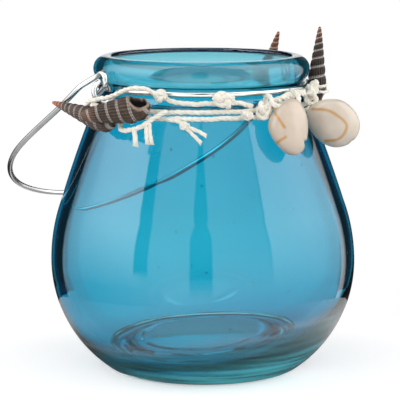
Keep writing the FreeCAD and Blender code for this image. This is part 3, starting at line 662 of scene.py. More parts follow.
# Cotton is matt and soft, near white where light falls and cream between its plies
FIBRE = 0.00022
FUZZ_HEIGHT = 0.0001
YARN_TONE = 0.0016
COTTON_TONES = ((0.3, colour("f6efdf")), (0.65, colour("fffcf3")))
cotton, tree, shader = start_material("twisted cotton cord")
place = add_node(tree, "ShaderNodeTexCoord").outputs["Object"]
fibre = add_node(tree, "ShaderNodeTexNoise", {"Vector": place, "Scale": 1 / FIBRE, "Detail": 2.0})
yarn = add_node(tree, "ShaderNodeTexNoise", {"Vector": place, "Scale": 1 / YARN_TONE, "Detail": 3.0})
tone = add_node(tree, "ShaderNodeValToRGB", {"Fac": yarn})
set_ramp(tone, COTTON_TONES)
fuzz = add_node(tree, "ShaderNodeBump", {"Height": fibre, "Strength": 0.4, "Distance": FUZZ_HEIGHT})
feed_node(tree, shader, {"Base Color": tone, "Normal": fuzz, "Roughness": 0.95, "Specular IOR Level": 0.2,
                         "Sheen Weight": 0.3, "Sheen Roughness": 0.5})

turn_points = round(WINDING_TURNS * POINTS_PER_TURN)
winding = []
for i in range(turn_points + 1):
    turn = WINDING_TURNS * i / turn_points
    winding.append(beside_glass(WINDING_AZIMUTH - 360 * turn, WINDING_DROP + WINDING_PITCH * turn, cord_seat))
neck_cord = add_object("neck_cord_winding", cord_mesh("neck_cord", [route_line(winding)]), cotton)
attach(neck_cord, "jar")
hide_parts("neck_cord")


# Cord runs: the strand across the front, the lashing and the sling that hold the left shells,
# and three cut tails. Each is held at its ends by a knot, a shell or the winding.
CORD_ROUTES = {
    "upper_cord": ((-18.5, -0.0004, 0.0020), (-12.0, 0.0008, 0.00115), (-4.0, 0.0011, 0.0010),
                   (4.0, 0.00095, 0.0011), (12.0, 0.0005, 0.0014), (20.0, 0.00095, 0.0013),
                   (26.5, 0.0021, 0.0017)),
    "auger_lashing": ((-58.0, 0.0017, 0.0086), (-51.7, 0.0005, 0.0102), (-44.6, -0.0005, 0.0098),
                      (-37.8, -0.0019, 0.0102), (-33.1, -0.0037, 0.0109), (-28.8, -0.0044, 0.0104),
                      (-24.7, -0.0036, 0.0083), (-21.2, -0.0019, 0.0056)),
    "auger_sling": ((-17.0, 0.0032, 0.0030), (-22.3, 0.0052, 0.0060), (-25.6, 0.0076, 0.0076),
                    (-30.0, 0.0089, 0.0074), (-35.0, 0.0092, 0.0069)),
    "left_tail": ((-28.4, 0.0089, 0.0074), (-27.6, 0.0118, 0.0068), (-27.8, 0.0146, 0.0055)),
    "short_tail": ((-23.6, 0.0066, 0.0068), (-23.0, 0.0096, 0.0060), (-22.4, 0.0126, 0.0048)),
    "middle_tail": ((-11.0, 0.0065, 0.0015), (-8.7, 0.0073, 0.00175), (-5.3, 0.00895, 0.0017),
                    (-1.1, 0.01085, 0.0016)),
}
# Where a run's ends go on out of sight, before its first point and after its last
TUCKED = {"auger_lashing": (((-61.0, 0.0052, 0.0050), (-60.0, 0.0034, 0.0075)), ()),
          "auger_sling": ((), ((-38.5, 0.0082, 0.0052), (-40.5, 0.0062, 0.0040))),
          "middle_tail": (((-16.5, 0.0058, 0.0026), (-13.5, 0.0061, 0.0021)), ())}
# The left tail is cut short. The short one has two strands side by side, and the middle one forks at a
# small knot (half width, half thickness, half height, cord). Strands of such a pair are thinner.
LEFT_TAIL_SHARE = 0.75
TAIL_SPREAD = 0.00062
FORK_SHARE = 0.62
FORK_ENDS = (Vector((0.0016, 0, 0.0006)), Vector((0.0001, 0, -0.0016)))
FORK_BOW = 0.15
FORK_KNOT = (0.0017, 0.0012, 0.0014, 0.0006)
PAIR_SHARE = 0.8
# A knot's turns: how far they draw in at the middle, how full they are, and their share in the thickness
KNOT_POINTS = 36
KNOT_DRAW = 1.7
KNOT_FULL = 1.1
KNOT_SINK = 0.7


def knot_turns(middle, along, off, wide, thick, tall, radius):
    """The line of a cord tied over itself, within a half width, a half thickness and a half height."""
    turns = []
    for i in range(KNOT_POINTS):
        angle = 2 * math.pi * i / KNOT_POINTS
        reach = (KNOT_DRAW + math.cos(3 * angle)) / (KNOT_DRAW + 1)
        turns.append(middle + along * (wide - radius) * reach * math.cos(2 * angle) * KNOT_FULL
                     + UP * (tall - radius) * reach * math.sin(2 * angle) * KNOT_FULL
                     + off * (thick - radius * KNOT_SINK) * math.sin(3 * angle))
    return route_line(turns, closed=True)


for name, route in CORD_ROUTES.items():
    first, last = TUCKED.get(name, ((), ()))
    line = route_line([beside_glass(*place) for place in first + route + last])
    if name == "left_tail":
        line = line[:round(len(line) * LEFT_TAIL_SHARE)]
    lines = [line]
    if name == "short_tail":
        beside = Vector((TAIL_SPREAD, 0, 0))
        lines = [[place - beside for place in line], [place + beside for place in line]]
    if name == "middle_tail":
        cut = round(len(line) * FORK_SHARE)
        lines = [line[:cut + 1]]
        for end in FORK_ENDS:
            parting = line[cut].lerp(line[-1] + end, 0.5) + end * FORK_BOW
            lines.append(route_line([line[cut - 2], line[cut], parting, line[-1] + end]))
        off = outward(route[2][0])
        lines.append(knot_turns(line[cut], UP.cross(off), off, *FORK_KNOT))
    radius = CORD_RADIUS * (PAIR_SHARE if len(lines) > 1 else 1)
    run = add_object(name + "_strands", cord_mesh(name, lines, radius, frayed=name.endswith("tail")), cotton)
    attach(run, "jar")
    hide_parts(name)


# Twisted cord: two lengths of the same cotton cord twisted together by hand, from the right knot to the
# cowrie knot. Both ends are held in those knots.
TWISTED_ROUTE = ((31.1, 0.0027, 0.0033), (39.0, 0.0006, 0.0034), (48.0, -0.0005, 0.0035),
                 (56.0, -0.0009, 0.0036), (62.0, -0.0007, 0.0039))
ROPE_RADIUS = 0.0013
ROPE_LAY = 0.0062
STRAND_SHARE = 0.58
rope_line = route_line([beside_glass(*place) for place in TWISTED_ROUTE])
rope_lines = laid_plies(rope_line, ROPE_RADIUS, count=2, lay=ROPE_LAY)
rope_lines = [[Vector(place[:3]) for place in line] for line in rope_lines]
rope_mesh = cord_mesh("twisted_cord", rope_lines, ROPE_RADIUS * STRAND_SHARE)
rope = add_object("twisted_cord_strands", rope_mesh, cotton)
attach(rope, "jar")
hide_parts("twisted_cord")


# Knots: the same cotton cord tied over itself by hand and drawn tight, each wider than it is thick.
# Each has its place, its half width, half thickness and half height, and a second turn's place.
KNOTS = {
    "left_knot": ((-20.4, -0.0015, 0.0042), 0.00224, 0.00176, 0.00224, None),
    "middle_knot": ((9.9, -0.0006, 0.0042), 0.00352, 0.00176, 0.00256, (0.0012, -0.0002)),
    "lower_knot": ((21.2, 0.0044, 0.0032), 0.0018, 0.0013, 0.0016, None),
    "right_knot": ((29.6, 0.0032, 0.0036), 0.0023, 0.00176, 0.0031, (0.0014, 0.0004)),
    "cowrie_knot": ((66.0, 0.0002, 0.0046), 0.00288, 0.00208, 0.00368, (0.0004, 0.0022)),
}
KNOT_CORD = 0.00088
# The strand that crosses a knot, as shares of its sizes, and the second turn's shares and lift
CROSSING_ENDS = 0.9
CROSSING_RISE = 0.3
CROSSING_BULGE = 0.3
CROSSING_FALL = 0.2
SECOND_TALL = 0.75
SECOND_THICK = 0.8
SECOND_WIDE = 0.7
SECOND_LIFT = 0.0005
for name, (place, wide, thick, tall, second) in KNOTS.items():
    middle = beside_glass(*place)
    off = outward(place[0])
    along = UP.cross(off)
    crossing = [middle - along * wide * CROSSING_ENDS + UP * tall * CROSSING_RISE,
                middle + off * thick * CROSSING_BULGE,
                middle + along * wide * CROSSING_ENDS - UP * tall * CROSSING_FALL]
    lines = [knot_turns(middle, along, off, wide, thick, tall, KNOT_CORD), route_line(crossing)]
    if second is not None:
        second_middle = middle + along * second[0] + UP * second[1] + off * SECOND_LIFT
        lines.append(knot_turns(second_middle, UP, off, SECOND_TALL * tall, SECOND_THICK * thick,
                                SECOND_WIDE * wide, KNOT_CORD))
    tied = add_object(name + "_tied", cord_mesh(name, lines, KNOT_CORD), cotton)
    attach(tied, "jar")
    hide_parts(name)


# Auger shells: tall spires of flat-sided ribbed whorls with pale bands beside each suture, a brown
# tip, and a dark mouth on one side of the wide end. They are tied or slung in the cord.
AUGERS = {
    # length, diameter, tip radius, place of the mouth, point that the tip aims at
    "rear_left_auger": (0.0287, 0.0074, 0.0005, (-41.0, 0.0080, 0.0055), (-77.5, 0.0024, 0.0164)),
    "front_left_auger": (0.0223, 0.0080, 0.0017, (-23.2, 0.00155, 0.0071), (-48.5, 0.0049, 0.0149)),
    "right_auger": (0.0270, 0.0072, 0.00045, (112.7, 0.0073, 0.0051), (113.5, -0.0191, 0.0166)),
    "back_auger": (0.0275, 0.0070, 0.00045, (152.5, 0.0082, 0.0054), (138.1, -0.0172, 0.0121)),
}
AUGER_FINISH = {
    # count of whorls, each one's height over the one below, fullness, ground and tip colours, and
    # the way the mouth faces
    "rear_left_auger": (10, 0.87, 1.04, "4f423b", "9a5732", (0.3, 0.95, 0.1)),
    "front_left_auger": (5.2, 0.93, 1.14, "43362d", "6a4f40", (0.12, -0.38, 0.92)),
    "right_auger": (9, 0.86, 1.02, "30251f", "6d4032", (0.9, 0.4, 0)),
    "back_auger": (9, 0.86, 1.0, "6a4331", "854b2f", (0.4, 0.9, 0)),
}
AUGER_FACETS = 110
AUGER_STEPS = 120
PATTERN_LIFT = 50
MOUTH_DEPTH = 0.12
MOUTH_WIDTH = 0.3
LIP_HEIGHT = 0.1
LIP_BEND = 0.16
WHORL_TAPER = 0.9
# Across a whorl: its swell and that one's power, its slant, the depth and width of the cut at its sutures
WHORL_SWELL = (0.07, 0.7)
WHORL_SLANT = 0.07
SUTURE_CUT = (0.11, 0.07)
# Ribs round a whorl, and wear: how many times in a metre it comes, its shift of a rib and its own height
RIBS = 22
RIB_HEIGHT = 0.045
WEAR = (900, 2, 0.03)
# Where the tip's colour comes in, and where the whorls fade out at the tip
TIP_TONE = (0.74, 0.98)
TIP_FADE = (1.03, 0.1)
# The side mouth: its middle and half height over the length, its half angle, its skew and its depth. Then
# where its slope and its painted shade begin and end, and its lip's place, width and height.
GAPE = (0.150, 0.130, 1.05, 0.4, 0.78)
GAPE_SLOPE = (1.02, 0.72)
GAPE_DARK = (1.0, 0.86)
GAPE_LIP = (1.10, 0.13, 0.07)
SNOUT = (0.62, 0.30)
# How pale the shell is across a whorl, from one suture to the next
SUTURE_LINES = ((0.0, 0.9), (0.045, 0.85), (0.07, 0.35), (0.095, 0.35), (0.12, 0.8), (0.15, 0.6),
                (0.19, 0.0), (0.92, 0.0), (0.97, 0.7))


def whorl_at(share, whorls, ratio):
    """How many whorls lie below a share of the spire's height."""
    left = max(1e-6, 1 - share * (1 - ratio**whorls))
    return math.log(left) / math.log(ratio)


def smooth_share(value, low, high):
    share = min(1, max(0, (value - low) / (high - low)))
    return share * share * (3 - 2 * share)


def auger_mesh(name, length, radius, tip_radius, mouth, aim, whorls, ratio, full, ground, tip_tone, facing):
    """A spire along z from its mouth, with its ribs and side mouth, turned into place."""
    bm = bmesh.new()
    shell_side = bm.verts.layers.float.new("shell_side")
    tone = bm.verts.layers.float_color.new("ground")
    hollow = bm.verts.layers.float.new("hollow")
    lip_edge = bm.verts.layers.float.new("lip_edge")
    tip = bm.verts.new((0, 0, length * MOUTH_DEPTH))
    tip = lead_on(bm, tip, (radius * MOUTH_WIDTH, 0))
    inner_count = len(bm.verts) - 1
    tip = lead_on(bm, tip, (radius, length * LIP_HEIGHT), length * LIP_BEND, 1)
    tip = lead_on(bm, tip, (tip_radius, length - tip_radius))
    tip = lead_on(bm, tip, (0, length), tip_radius, 1)
    bm.verts.ensure_lookup_table()
    for vert in bm.verts[inner_count:]:
        vert[shell_side] = 1
    split_long_edges(bm, length / AUGER_STEPS)
    turn_round(bm, AUGER_FACETS)
    lip = length * LIP_HEIGHT
    spire = length - lip - tip_radius
    pattern = bm.loops.layers.uv.new("whorls")
    for face in bm.faces:
        middle = face.calc_center_median()
        centre_turn = math.atan2(middle.y, middle.x) / (2 * math.pi)
        for loop in face.loops:
            co = loop.vert.co
            turn = math.atan2(co.y, co.x) / (2 * math.pi) if co.xy.length > 1e-7 else centre_turn
            turn += round(centre_turn - turn)
            loop[pattern].uv = (turn, whorl_at((co.z - lip) / spire, whorls, ratio) - turn + PATTERN_LIFT)
    upright = UP.rotation_difference((aim - mouth).normalized()).to_matrix()
    ground, tip_tone = Vector(colour(ground)), Vector(colour(tip_tone))
    face_way = upright.inverted() @ Vector(facing)
    face_angle = math.atan2(face_way.y, face_way.x)
    gape_at, gape_half, gape_angle, gape_skew, gape_depth = GAPE
    for vert in bm.verts:
        share = (vert.co.z - lip) / spire
        vert[tone] = ground.lerp(tip_tone, smooth_share(share, *TIP_TONE))
        around = vert.co.xy
        if vert[shell_side] < 0.5:
            vert[hollow] = 1
        if vert[shell_side] < 0.5 or around.length < 1e-7:
            continue
        turn = math.atan2(around.y, around.x) / (2 * math.pi)
        across = (whorl_at(share, whorls, ratio) - turn) % 1.0
        wide = around.length
        if 0 < share < 1:
            wide = max(wide, tip_radius + (radius - tip_radius) * (1 - share)**WHORL_TAPER)
        edge = min(across, 1 - across)
        swell = WHORL_SWELL[0] * math.sin(math.pi * across)**WHORL_SWELL[1] + WHORL_SLANT * (across - 0.5)
        swell -= SUTURE_CUT[0] * math.exp(-(edge / SUTURE_CUT[1])**2)
        worn = noise.noise(vert.co * WEAR[0])
        rib = RIB_HEIGHT * math.cos(2 * math.pi * RIBS * turn + WEAR[1] * worn) + WEAR[2] * worn
        swell += rib * math.sin(math.pi * across)
        ease = min(1, max(0, vert.co.z / lip)) * min(1, max(0, (TIP_FADE[0] - share) / TIP_FADE[1]))
        wide *= 1 + (full - 1 + swell) * ease
        wide *= SNOUT[0] + (1 - SNOUT[0]) * smooth_share(vert.co.z, 0, SNOUT[1] * length)
        rise = (vert.co.z / length - gape_at) / gape_half
        aside = (2 * math.pi * turn - face_angle + math.pi) % (2 * math.pi) - math.pi
        gape = math.hypot(aside / gape_angle - gape_skew * rise, rise)
        # Painted shade: how far the near black goes into the mouth's hollow
        vert[hollow] = smooth_share(gape, *GAPE_DARK)
        vert[lip_edge] = math.exp(-((gape - GAPE_LIP[0]) / GAPE_LIP[1])**2)
        wide *= 1 - gape_depth * smooth_share(gape, *GAPE_SLOPE) + GAPE_LIP[2] * vert[lip_edge]
        vert.co.xy = around.normalized() * wide
    bmesh.ops.transform(bm, matrix=Matrix.Translation(mouth) @ upright.to_4x4(), verts=bm.verts[:])
    return finish_mesh(bm, name)


def grey_stops(stops, first=0.0, last=1.0, brightest=1.0):
    """Ramp stops from (place, brightness) pairs between a first and a last place."""
    return [((place - first) / (last - first), [brightness / brightest] * 3 + [1])
            for place, brightness in stops]


# Auger shell is dense lime: brown, ribbed and satin, with two pale beaded lines at each suture. The
# ribs are drawn a little coarser than real ones, so that they show.
MOTTLE = 0.0014
MOTTLE_TONES = (0.15, 0.85)
SUTURE_WANDER = 0.06
RIB_TONES = (0.34, 0.45)
BEAD_TONES = (0.25, 0.75)
SUTURE_COLOUR = "d8cfc9"
LIP_COLOUR = "a08c7a"
# The mouth's hollow is painted near black: painted shade in the hollow
MOUTH_SHADE_COLOUR = "070403"
auger_shell, tree, shader = start_material("banded auger shell")
uv = add_node(tree, "ShaderNodeUVMap", uv_map="whorls")
place = add_node(tree, "ShaderNodeTexCoord").outputs["Object"]
parts = add_node(tree, "ShaderNodeSeparateXYZ", {"Vector": uv})
ground = add_node(tree, "ShaderNodeAttribute", attribute_name="ground")
mottle = add_node(tree, "ShaderNodeTexNoise", {"Vector": place, "Scale": 1 / MOTTLE, "Detail": 4.0})
ribs = add_node(tree, "ShaderNodeMath", {0: parts.outputs["X"], 1: 2 * math.pi * RIBS}, operation="MULTIPLY")
ribs = add_node(tree, "ShaderNodeMath", {0: ribs}, operation="SINE")
ribbed = add_node(tree, "ShaderNodeMath", {0: ribs, 1: RIB_TONES[0], 2: RIB_TONES[1]},
                  operation="MULTIPLY_ADD")
mottled = add_node(tree, "ShaderNodeMapRange", {"Value": mottle, "From Min": 0.3, "From Max": 0.7,
                                                "To Min": MOTTLE_TONES[0], "To Max": MOTTLE_TONES[1]})
worn = add_node(tree, "ShaderNodeMath", {0: ribbed, 1: mottled}, operation="ADD")
worn = add_node(tree, "ShaderNodeVectorMath", {0: ground, "Scale": worn}, operation="SCALE")
wander = add_node(tree, "ShaderNodeMapRange", {"Value": mottle, "To Min": -SUTURE_WANDER,
                                               "To Max": SUTURE_WANDER})
wander = add_node(tree, "ShaderNodeMath", {0: wander, 1: parts.outputs["Y"]}, operation="ADD")
across = add_node(tree, "ShaderNodeMath", {0: wander}, operation="FRACT")
band = add_node(tree, "ShaderNodeValToRGB", {"Fac": across})
set_ramp(band, grey_stops(SUTURE_LINES))
beads = add_node(tree, "ShaderNodeMath", {0: ribs, 1: BEAD_TONES[0], 2: BEAD_TONES[1]},
                 operation="MULTIPLY_ADD")
beads = add_node(tree, "ShaderNodeMath", {0: band, 1: beads}, operation="MULTIPLY")
banded = add_node(tree, "ShaderNodeMix", {"Factor": beads, 6: worn, 7: colour(SUTURE_COLOUR)},
                  data_type="RGBA")
lip_edge = add_node(tree, "ShaderNodeAttribute", attribute_name="lip_edge").outputs["Fac"]
lipped = add_node(tree, "ShaderNodeMix", {"Factor": lip_edge, 6: banded, 7: colour(LIP_COLOUR)},
                  data_type="RGBA")
# Painted shade: near black in the mouth's hollow
hollow = add_node(tree, "ShaderNodeAttribute", attribute_name="hollow").outputs["Fac"]
finished = add_node(tree, "ShaderNodeMix", {"Factor": hollow, 6: lipped, 7: colour(MOUTH_SHADE_COLOUR)},
                    data_type="RGBA")
dull = add_node(tree, "ShaderNodeMapRange", {"Value": hollow, "To Min": 0.5, "To Max": 1.0})
feed_node(tree, shader, {"Base Color": finished, "Roughness": dull, "Specular IOR Level": 0.25})
for name, (length, diameter, tip_radius, mouth, aim) in AUGERS.items():
    mesh = auger_mesh(name, length, diameter / 2, tip_radius, beside_glass(*mouth), beside_glass(*aim),
                      *AUGER_FINISH[name])
    auger = add_object(name + "_spire", mesh, auger_shell)
    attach(auger, "jar")
    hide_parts(name)


# Auger ties: cotton cord, thinner than the rest, wound twice round each upright auger just above its
# widest whorl, which holds the auger to the neck.
TIE_TURNS = 2
TIE_PITCH = 0.0021
TIES = {"right_auger_tie": ("right_auger", 0.0046), "back_auger_tie": ("back_auger", 0.0060)}
TIE_CORD = 0.0005
TIE_STANDOFF = 0.8
# The spire's radius at a height, over its widest: that at the lip and its fall from there to the tip
SPIRE_TAPER = (1.03, 0.9)
for name, (shell, height) in TIES.items():
    length, diameter, tip_radius, mouth, aim = AUGERS[shell]
    mouth = beside_glass(*mouth)
    axis = (beside_glass(*aim) - mouth).normalized()
    beside = axis.cross(Vector((0, 1, 0))).normalized()
    across = axis.cross(beside)
    turns = []
    for i in range(TIE_TURNS * POINTS_PER_TURN + 1):
        turn = i / POINTS_PER_TURN
        rise = height + TIE_PITCH * turn
        taper = SPIRE_TAPER[0] - SPIRE_TAPER[1] * (rise / length - LIP_HEIGHT)
        radius = diameter / 2 * taper + TIE_CORD * TIE_STANDOFF
        around = beside * math.cos(2 * math.pi * turn) + across * math.sin(2 * math.pi * turn)
        turns.append(mouth + axis * rise + around * radius)
    tie = add_object(name + "_strands", cord_mesh(name, [route_line(turns)], TIE_CORD), cotton)
    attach(tie, "jar")
    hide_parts(name)


# Cowrie shells: glossy ring cowries with a domed back, a flat belly and a toothed slit. The front
# one hangs on a cord loop through a drilled hole and swings; the side one is tied fast.
BELLY_SHARE = 0.38
HOLE_SHARE = 0.36
LOOP_SHARE = 0.43
FRONT_COWRIE = (0.0180, 0.0132, 0.0094)
SIDE_COWRIE = (0.0168, 0.0154, 0.0100)
FRONT_AZIMUTH = 39.6
FRONT_DROP = 0.0097
SIDE_PLACE = (67.8, 0.0092, 0.0089)
COWRIE_LEAN = math.radians(13.0)
COWRIE_GAP = 0.0024
lean_out = outward(FRONT_AZIMUTH)
cowrie_up = UP * math.cos(COWRIE_LEAN) - lean_out * math.sin(COWRIE_LEAN)
cowrie_off = lean_out * math.cos(COWRIE_LEAN) + UP * math.sin(COWRIE_LEAN)
front_center = (beside_glass(FRONT_AZIMUTH, FRONT_DROP, 0)
                + cowrie_off * (FRONT_COWRIE[2] * BELLY_SHARE + COWRIE_GAP))
side_center = beside_glass(*SIDE_PLACE)
side_inwards = Vector((-0.92, -0.1, 0.38)).normalized()
side_back = Vector((-0.31, -0.95, -0.12))
COWRIE_FACETS = (120, 90)
# The belly's flatness, the slit's half width, half length and depth, its teeth and their share of the depth
BELLY_FLATNESS = 0.12
SLIT = (0.05, 0.42, 0.14)
TEETH = (16, 0.4)
# How far each outline swells or draws in, by the angle up from the right as it is seen from the front
FRONT_OUTLINE = ((-180, 1.19), (-159, 1.12), (-123, 0.98), (-91, 0.97), (-77, 1.0), (-59, 0.99), (-31, 0.91),
                 (7, 0.94), (44, 1.02), (72, 1.10), (89, 1.01), (110, 0.89), (141, 0.97), (162, 1.13),
                 (180, 1.19))
SIDE_OUTLINE = ((-180, 1.03), (-167, 1.0), (-146, 0.94), (-119, 0.96), (-85, 1.0), (-60, 0.98), (-29, 0.96),
                (0, 0.95), (22, 0.94), (50, 0.97), (76, 1.05), (104, 1.07), (125, 1.12), (140, 1.16),
                (153, 1.22), (163, 1.15), (180, 1.03))
OUTLINE_STEP = 3
OUTLINE_EASE = 9
OUTLINE_POWER = 1.5
# The notch at the slit's end: its angle, half angle, its hold on the edge, and its depth on each shell
NOTCH_ANGLE = -46
NOTCH_WIDTH = 5
NOTCH_POWER = 8
FRONT_NOTCH = 0.16
SIDE_NOTCH = 0.03
# The golden ring's lines on the back, as distances to the right and up from the shell's middle
FRONT_RING = (((-0.0052, 0.0046), (-0.0035, 0.0019), (-0.0016, -0.0010)),
              ((-0.0047, -0.0054), (-0.0032, -0.0040), (-0.0013, -0.0030)))
SIDE_RING = (((-0.0073, 0.0046), (-0.0035, 0.0045), (-0.0010, 0.0034), (0.0016, 0.0016), (0.0035, -0.0003),
              (0.0032, -0.0022), (0.0019, -0.0044), (-0.0003, -0.0054), (-0.0032, -0.0054)),)
RING_WIDTH = 0.00046
RING_POWER = 2.5
RING_STRIDE = 5
RING_REACH = 0.002
FACING_UP = Vector((0, 0.155, 0.988))


def outline_at(outline, angle):
    """How far an outline swells at an angle, eased over a few degrees."""
    total = 0
    shifts = range(-OUTLINE_EASE, OUTLINE_EASE + 1, OUTLINE_STEP)
    for shift in shifts:
        at = (angle + shift + 180) % 360 - 180
        for (start, low), (end, high) in zip(outline, outline[1:]):
            if start <= at <= end:
                total += low + (high - low) * (at - start) / (end - start)
                break
    return total / len(shifts)


def off_line(spot, lines):
    """Distance from a spot to the nearest of some bent lines."""
    gaps = []
    for line in lines:
        for start, end in zip(line, line[1:]):
            along = end - start
            share = min(1, max(0, (spot - start).dot(along) / max(1e-12, along.length_squared)))
            gaps.append((spot - start - along * share).length)
    return min(gaps)


def cowrie_mesh(name, sizes, center, long_way, back_way, outline, notch, ring_lines, ground):
    """A cowrie, its length along y and its back towards z before it is turned into place."""
    length, width, height = sizes
    bm = bmesh.new()
    ring = bm.verts.layers.float.new("ring")
    tone = bm.verts.layers.float_color.new("ground")
    ground = colour(ground)
    bmesh.ops.create_uvsphere(bm, u_segments=COWRIE_FACETS[0], v_segments=COWRIE_FACETS[1], radius=0.5)
    bmesh.ops.rotate(bm, verts=bm.verts[:], matrix=Matrix.Rotation(math.radians(90), 3, "X"))
    belly = -BELLY_SHARE
    slit_width, slit_length, slit_depth = SLIT
    tooth_count, tooth_share = TEETH
    for vert in bm.verts:
        if vert.co.z < belly:
            vert.co.z = belly + (vert.co.z - belly) * BELLY_FLATNESS
        near_slit = math.exp(-(vert.co.x / slit_width)**2)
        if vert.co.z < 0 and abs(vert.co.y) < slit_length:
            teeth = 1 - tooth_share + tooth_share * math.cos(2 * math.pi * vert.co.y * tooth_count)
            vert.co.z += slit_depth * near_slit * teeth
    bmesh.ops.scale(bm, verts=bm.verts[:], vec=(width, length, height))
    side_way = long_way.cross(back_way).normalized()
    back_way = side_way.cross(long_way).normalized()
    turn = Matrix((side_way, long_way, back_way)).transposed()
    bmesh.ops.transform(bm, matrix=turn.to_4x4(), verts=bm.verts[:])
    ring_routes = [route_line([Vector((*spot, 0)) for spot in line]) for line in ring_lines]
    ring_routes = [[place.xy for place in line[::RING_STRIDE]] for line in ring_routes]
    spots = [Vector((vert.co.x, vert.co.dot(FACING_UP))) for vert in bm.verts]
    angles = [math.degrees(math.atan2(spot.y, spot.x)) for spot in spots]
    count = 360 // OUTLINE_STEP
    swells = [outline_at(outline, OUTLINE_STEP * i - 180) for i in range(count + 1)]
    widest = [0] * count
    for spot, angle in zip(spots, angles):
        place = int((angle + 180) / OUTLINE_STEP) % count
        widest[place] = max(widest[place], spot.length)
    for vert, spot, angle in zip(bm.verts, spots, angles):
        step, share = divmod((angle + 180) / OUTLINE_STEP, 1)
        step = int(step) % count
        reach = min(1, spot.length / widest[step])
        grow = (swells[step] + (swells[step + 1] - swells[step]) * share - 1) * reach**OUTLINE_POWER
        grow -= notch * math.exp(-((angle - NOTCH_ANGLE) / NOTCH_WIDTH)**2) * reach**NOTCH_POWER
        vert.co += (Vector((1, 0, 0)) * spot.x + FACING_UP * spot.y) * grow
        spot = spot * (1 + grow)
        vert[tone] = ground
        if vert.co.y < RING_REACH:
            vert[ring] = math.exp(-(off_line(spot, ring_routes) / RING_WIDTH)**RING_POWER)
    bmesh.ops.translate(bm, verts=bm.verts[:], vec=center)
    bmesh.ops.recalc_face_normals(bm, faces=bm.faces[:])
    return finish_mesh(bm, name)


# Cowrie enamel is glossy and smooth, ivory with a pinkish cast, with a golden ring on the back
CLOUD = 0.007
RING_STRENGTH = 0.85
RING_COLOUR = "c78f2c"
FRONT_GROUND = "d1c0ae"
SIDE_GROUND = "dccebe"
cowrie_shell, tree, shader = start_material("glossy cowrie enamel")
place = add_node(tree, "ShaderNodeTexCoord").outputs["Object"]
cloud = add_node(tree, "ShaderNodeTexNoise", {"Vector": place, "Scale": 1 / CLOUD, "Detail": 2.0})
ground = add_node(tree, "ShaderNodeAttribute", attribute_name="ground")
cloud = add_node(tree, "ShaderNodeMapRange", {"Value": cloud, "From Min": 0.3, "From Max": 0.7,
                                              "To Min": 0.9, "To Max": 1.1})
tone = add_node(tree, "ShaderNodeVectorMath", {0: ground, "Scale": cloud}, operation="SCALE")
ring = add_node(tree, "ShaderNodeAttribute", attribute_name="ring").outputs["Fac"]
gilt = add_node(tree, "ShaderNodeMath", {0: ring, 1: RING_STRENGTH}, operation="MULTIPLY")
ringed = add_node(tree, "ShaderNodeMix", {"Factor": gilt, 6: tone, 7: colour(RING_COLOUR)}, data_type="RGBA")
feed_node(tree, shader, {"Base Color": ringed, "Roughness": 0.28, "Coat Weight": 0.2})

front_mesh = cowrie_mesh("front_cowrie", FRONT_COWRIE, front_center, cowrie_up, cowrie_off, FRONT_OUTLINE,
                         FRONT_NOTCH, FRONT_RING, FRONT_GROUND)
front_cowrie = add_object("front_ring_cowrie", front_mesh, cowrie_shell)
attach(front_cowrie, "hanging_cowrie")
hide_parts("front_cowrie")
side_mesh = cowrie_mesh("side_cowrie", SIDE_COWRIE, side_center, side_inwards, side_back, SIDE_OUTLINE,
                        SIDE_NOTCH, SIDE_RING, SIDE_GROUND)
side_cowrie = add_object("side_ring_cowrie", side_mesh, cowrie_shell)
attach(side_cowrie, "jar")
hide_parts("side_cowrie")


# Cowrie loop: the cord that goes down from the twisted run, through the front cowrie's hole and up.
# Its two ends lap over the twisted run and are tucked behind it.
LOOP_ENDS = ((33.0, -0.0014, 0.0054), (50.5, -0.0010, 0.0056))
LOOP_TUCKS = (((34.5, 0.0030, 0.0014), (33.6, 0.0002, 0.0016), (33.0, -0.0012, 0.0036)),
              ((50.5, -0.0022, 0.0036), (51.0, -0.0010, 0.0016), (51.5, 0.0018, 0.0014)))
angle = math.radians(FRONT_AZIMUTH)
hole_axis = Vector((math.cos(angle), math.sin(angle), 0))
cowrie_hole = front_center + cowrie_up * FRONT_COWRIE[0] * HOLE_SHARE
loop_half = FRONT_COWRIE[1] * LOOP_SHARE
loop_places = [beside_glass(*place) for place in LOOP_TUCKS[0]]
loop_places += [beside_glass(*LOOP_ENDS[0]), cowrie_hole - hole_axis * loop_half,
                cowrie_hole + hole_axis * loop_half, beside_glass(*LOOP_ENDS[1])]
loop_places += [beside_glass(*place) for place in LOOP_TUCKS[1]]
loop = add_object("cowrie_loop_strands", cord_mesh("cowrie_loop", [route_line(loop_places)]), cotton)
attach(loop, "jar")
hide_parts("cowrie_loop")


# Studio: a pale floor, a white surround and soft lamps. The glass shows tall white screens with
# narrow gaps between them round the front, and two dark cards behind that draw its edges.
FLOOR_REACH = 0.10
FLOOR_FACETS = 96
FLOOR_DROP = 0.0002
FLOOR_COLOUR = "e6e6e6"
FLOOR_GLOW = 0.45
SHADE_RADIUS = (0.030, 0.064)
SHADE = 0.75
# Brightness of the floor by azimuth, as reflections see it, and its share close to the foot, where a painted
# shadow of the jar darkens it
FLOOR_GLEAM = ((-180, 0.5), (-140, 0.5), (-115, 0.55), (-90, 0.6), (-60, 1.1), (-25, 1.9), (25, 2.0),
               (70, 1.7), (95, 1.3), (118, 0.75), (140, 0.5), (180, 0.5))
GLEAM_BRIGHTEST = 2.0
FOOT_GLEAM = 0.04
GLEAM_RADIUS = (0.036, 0.070)


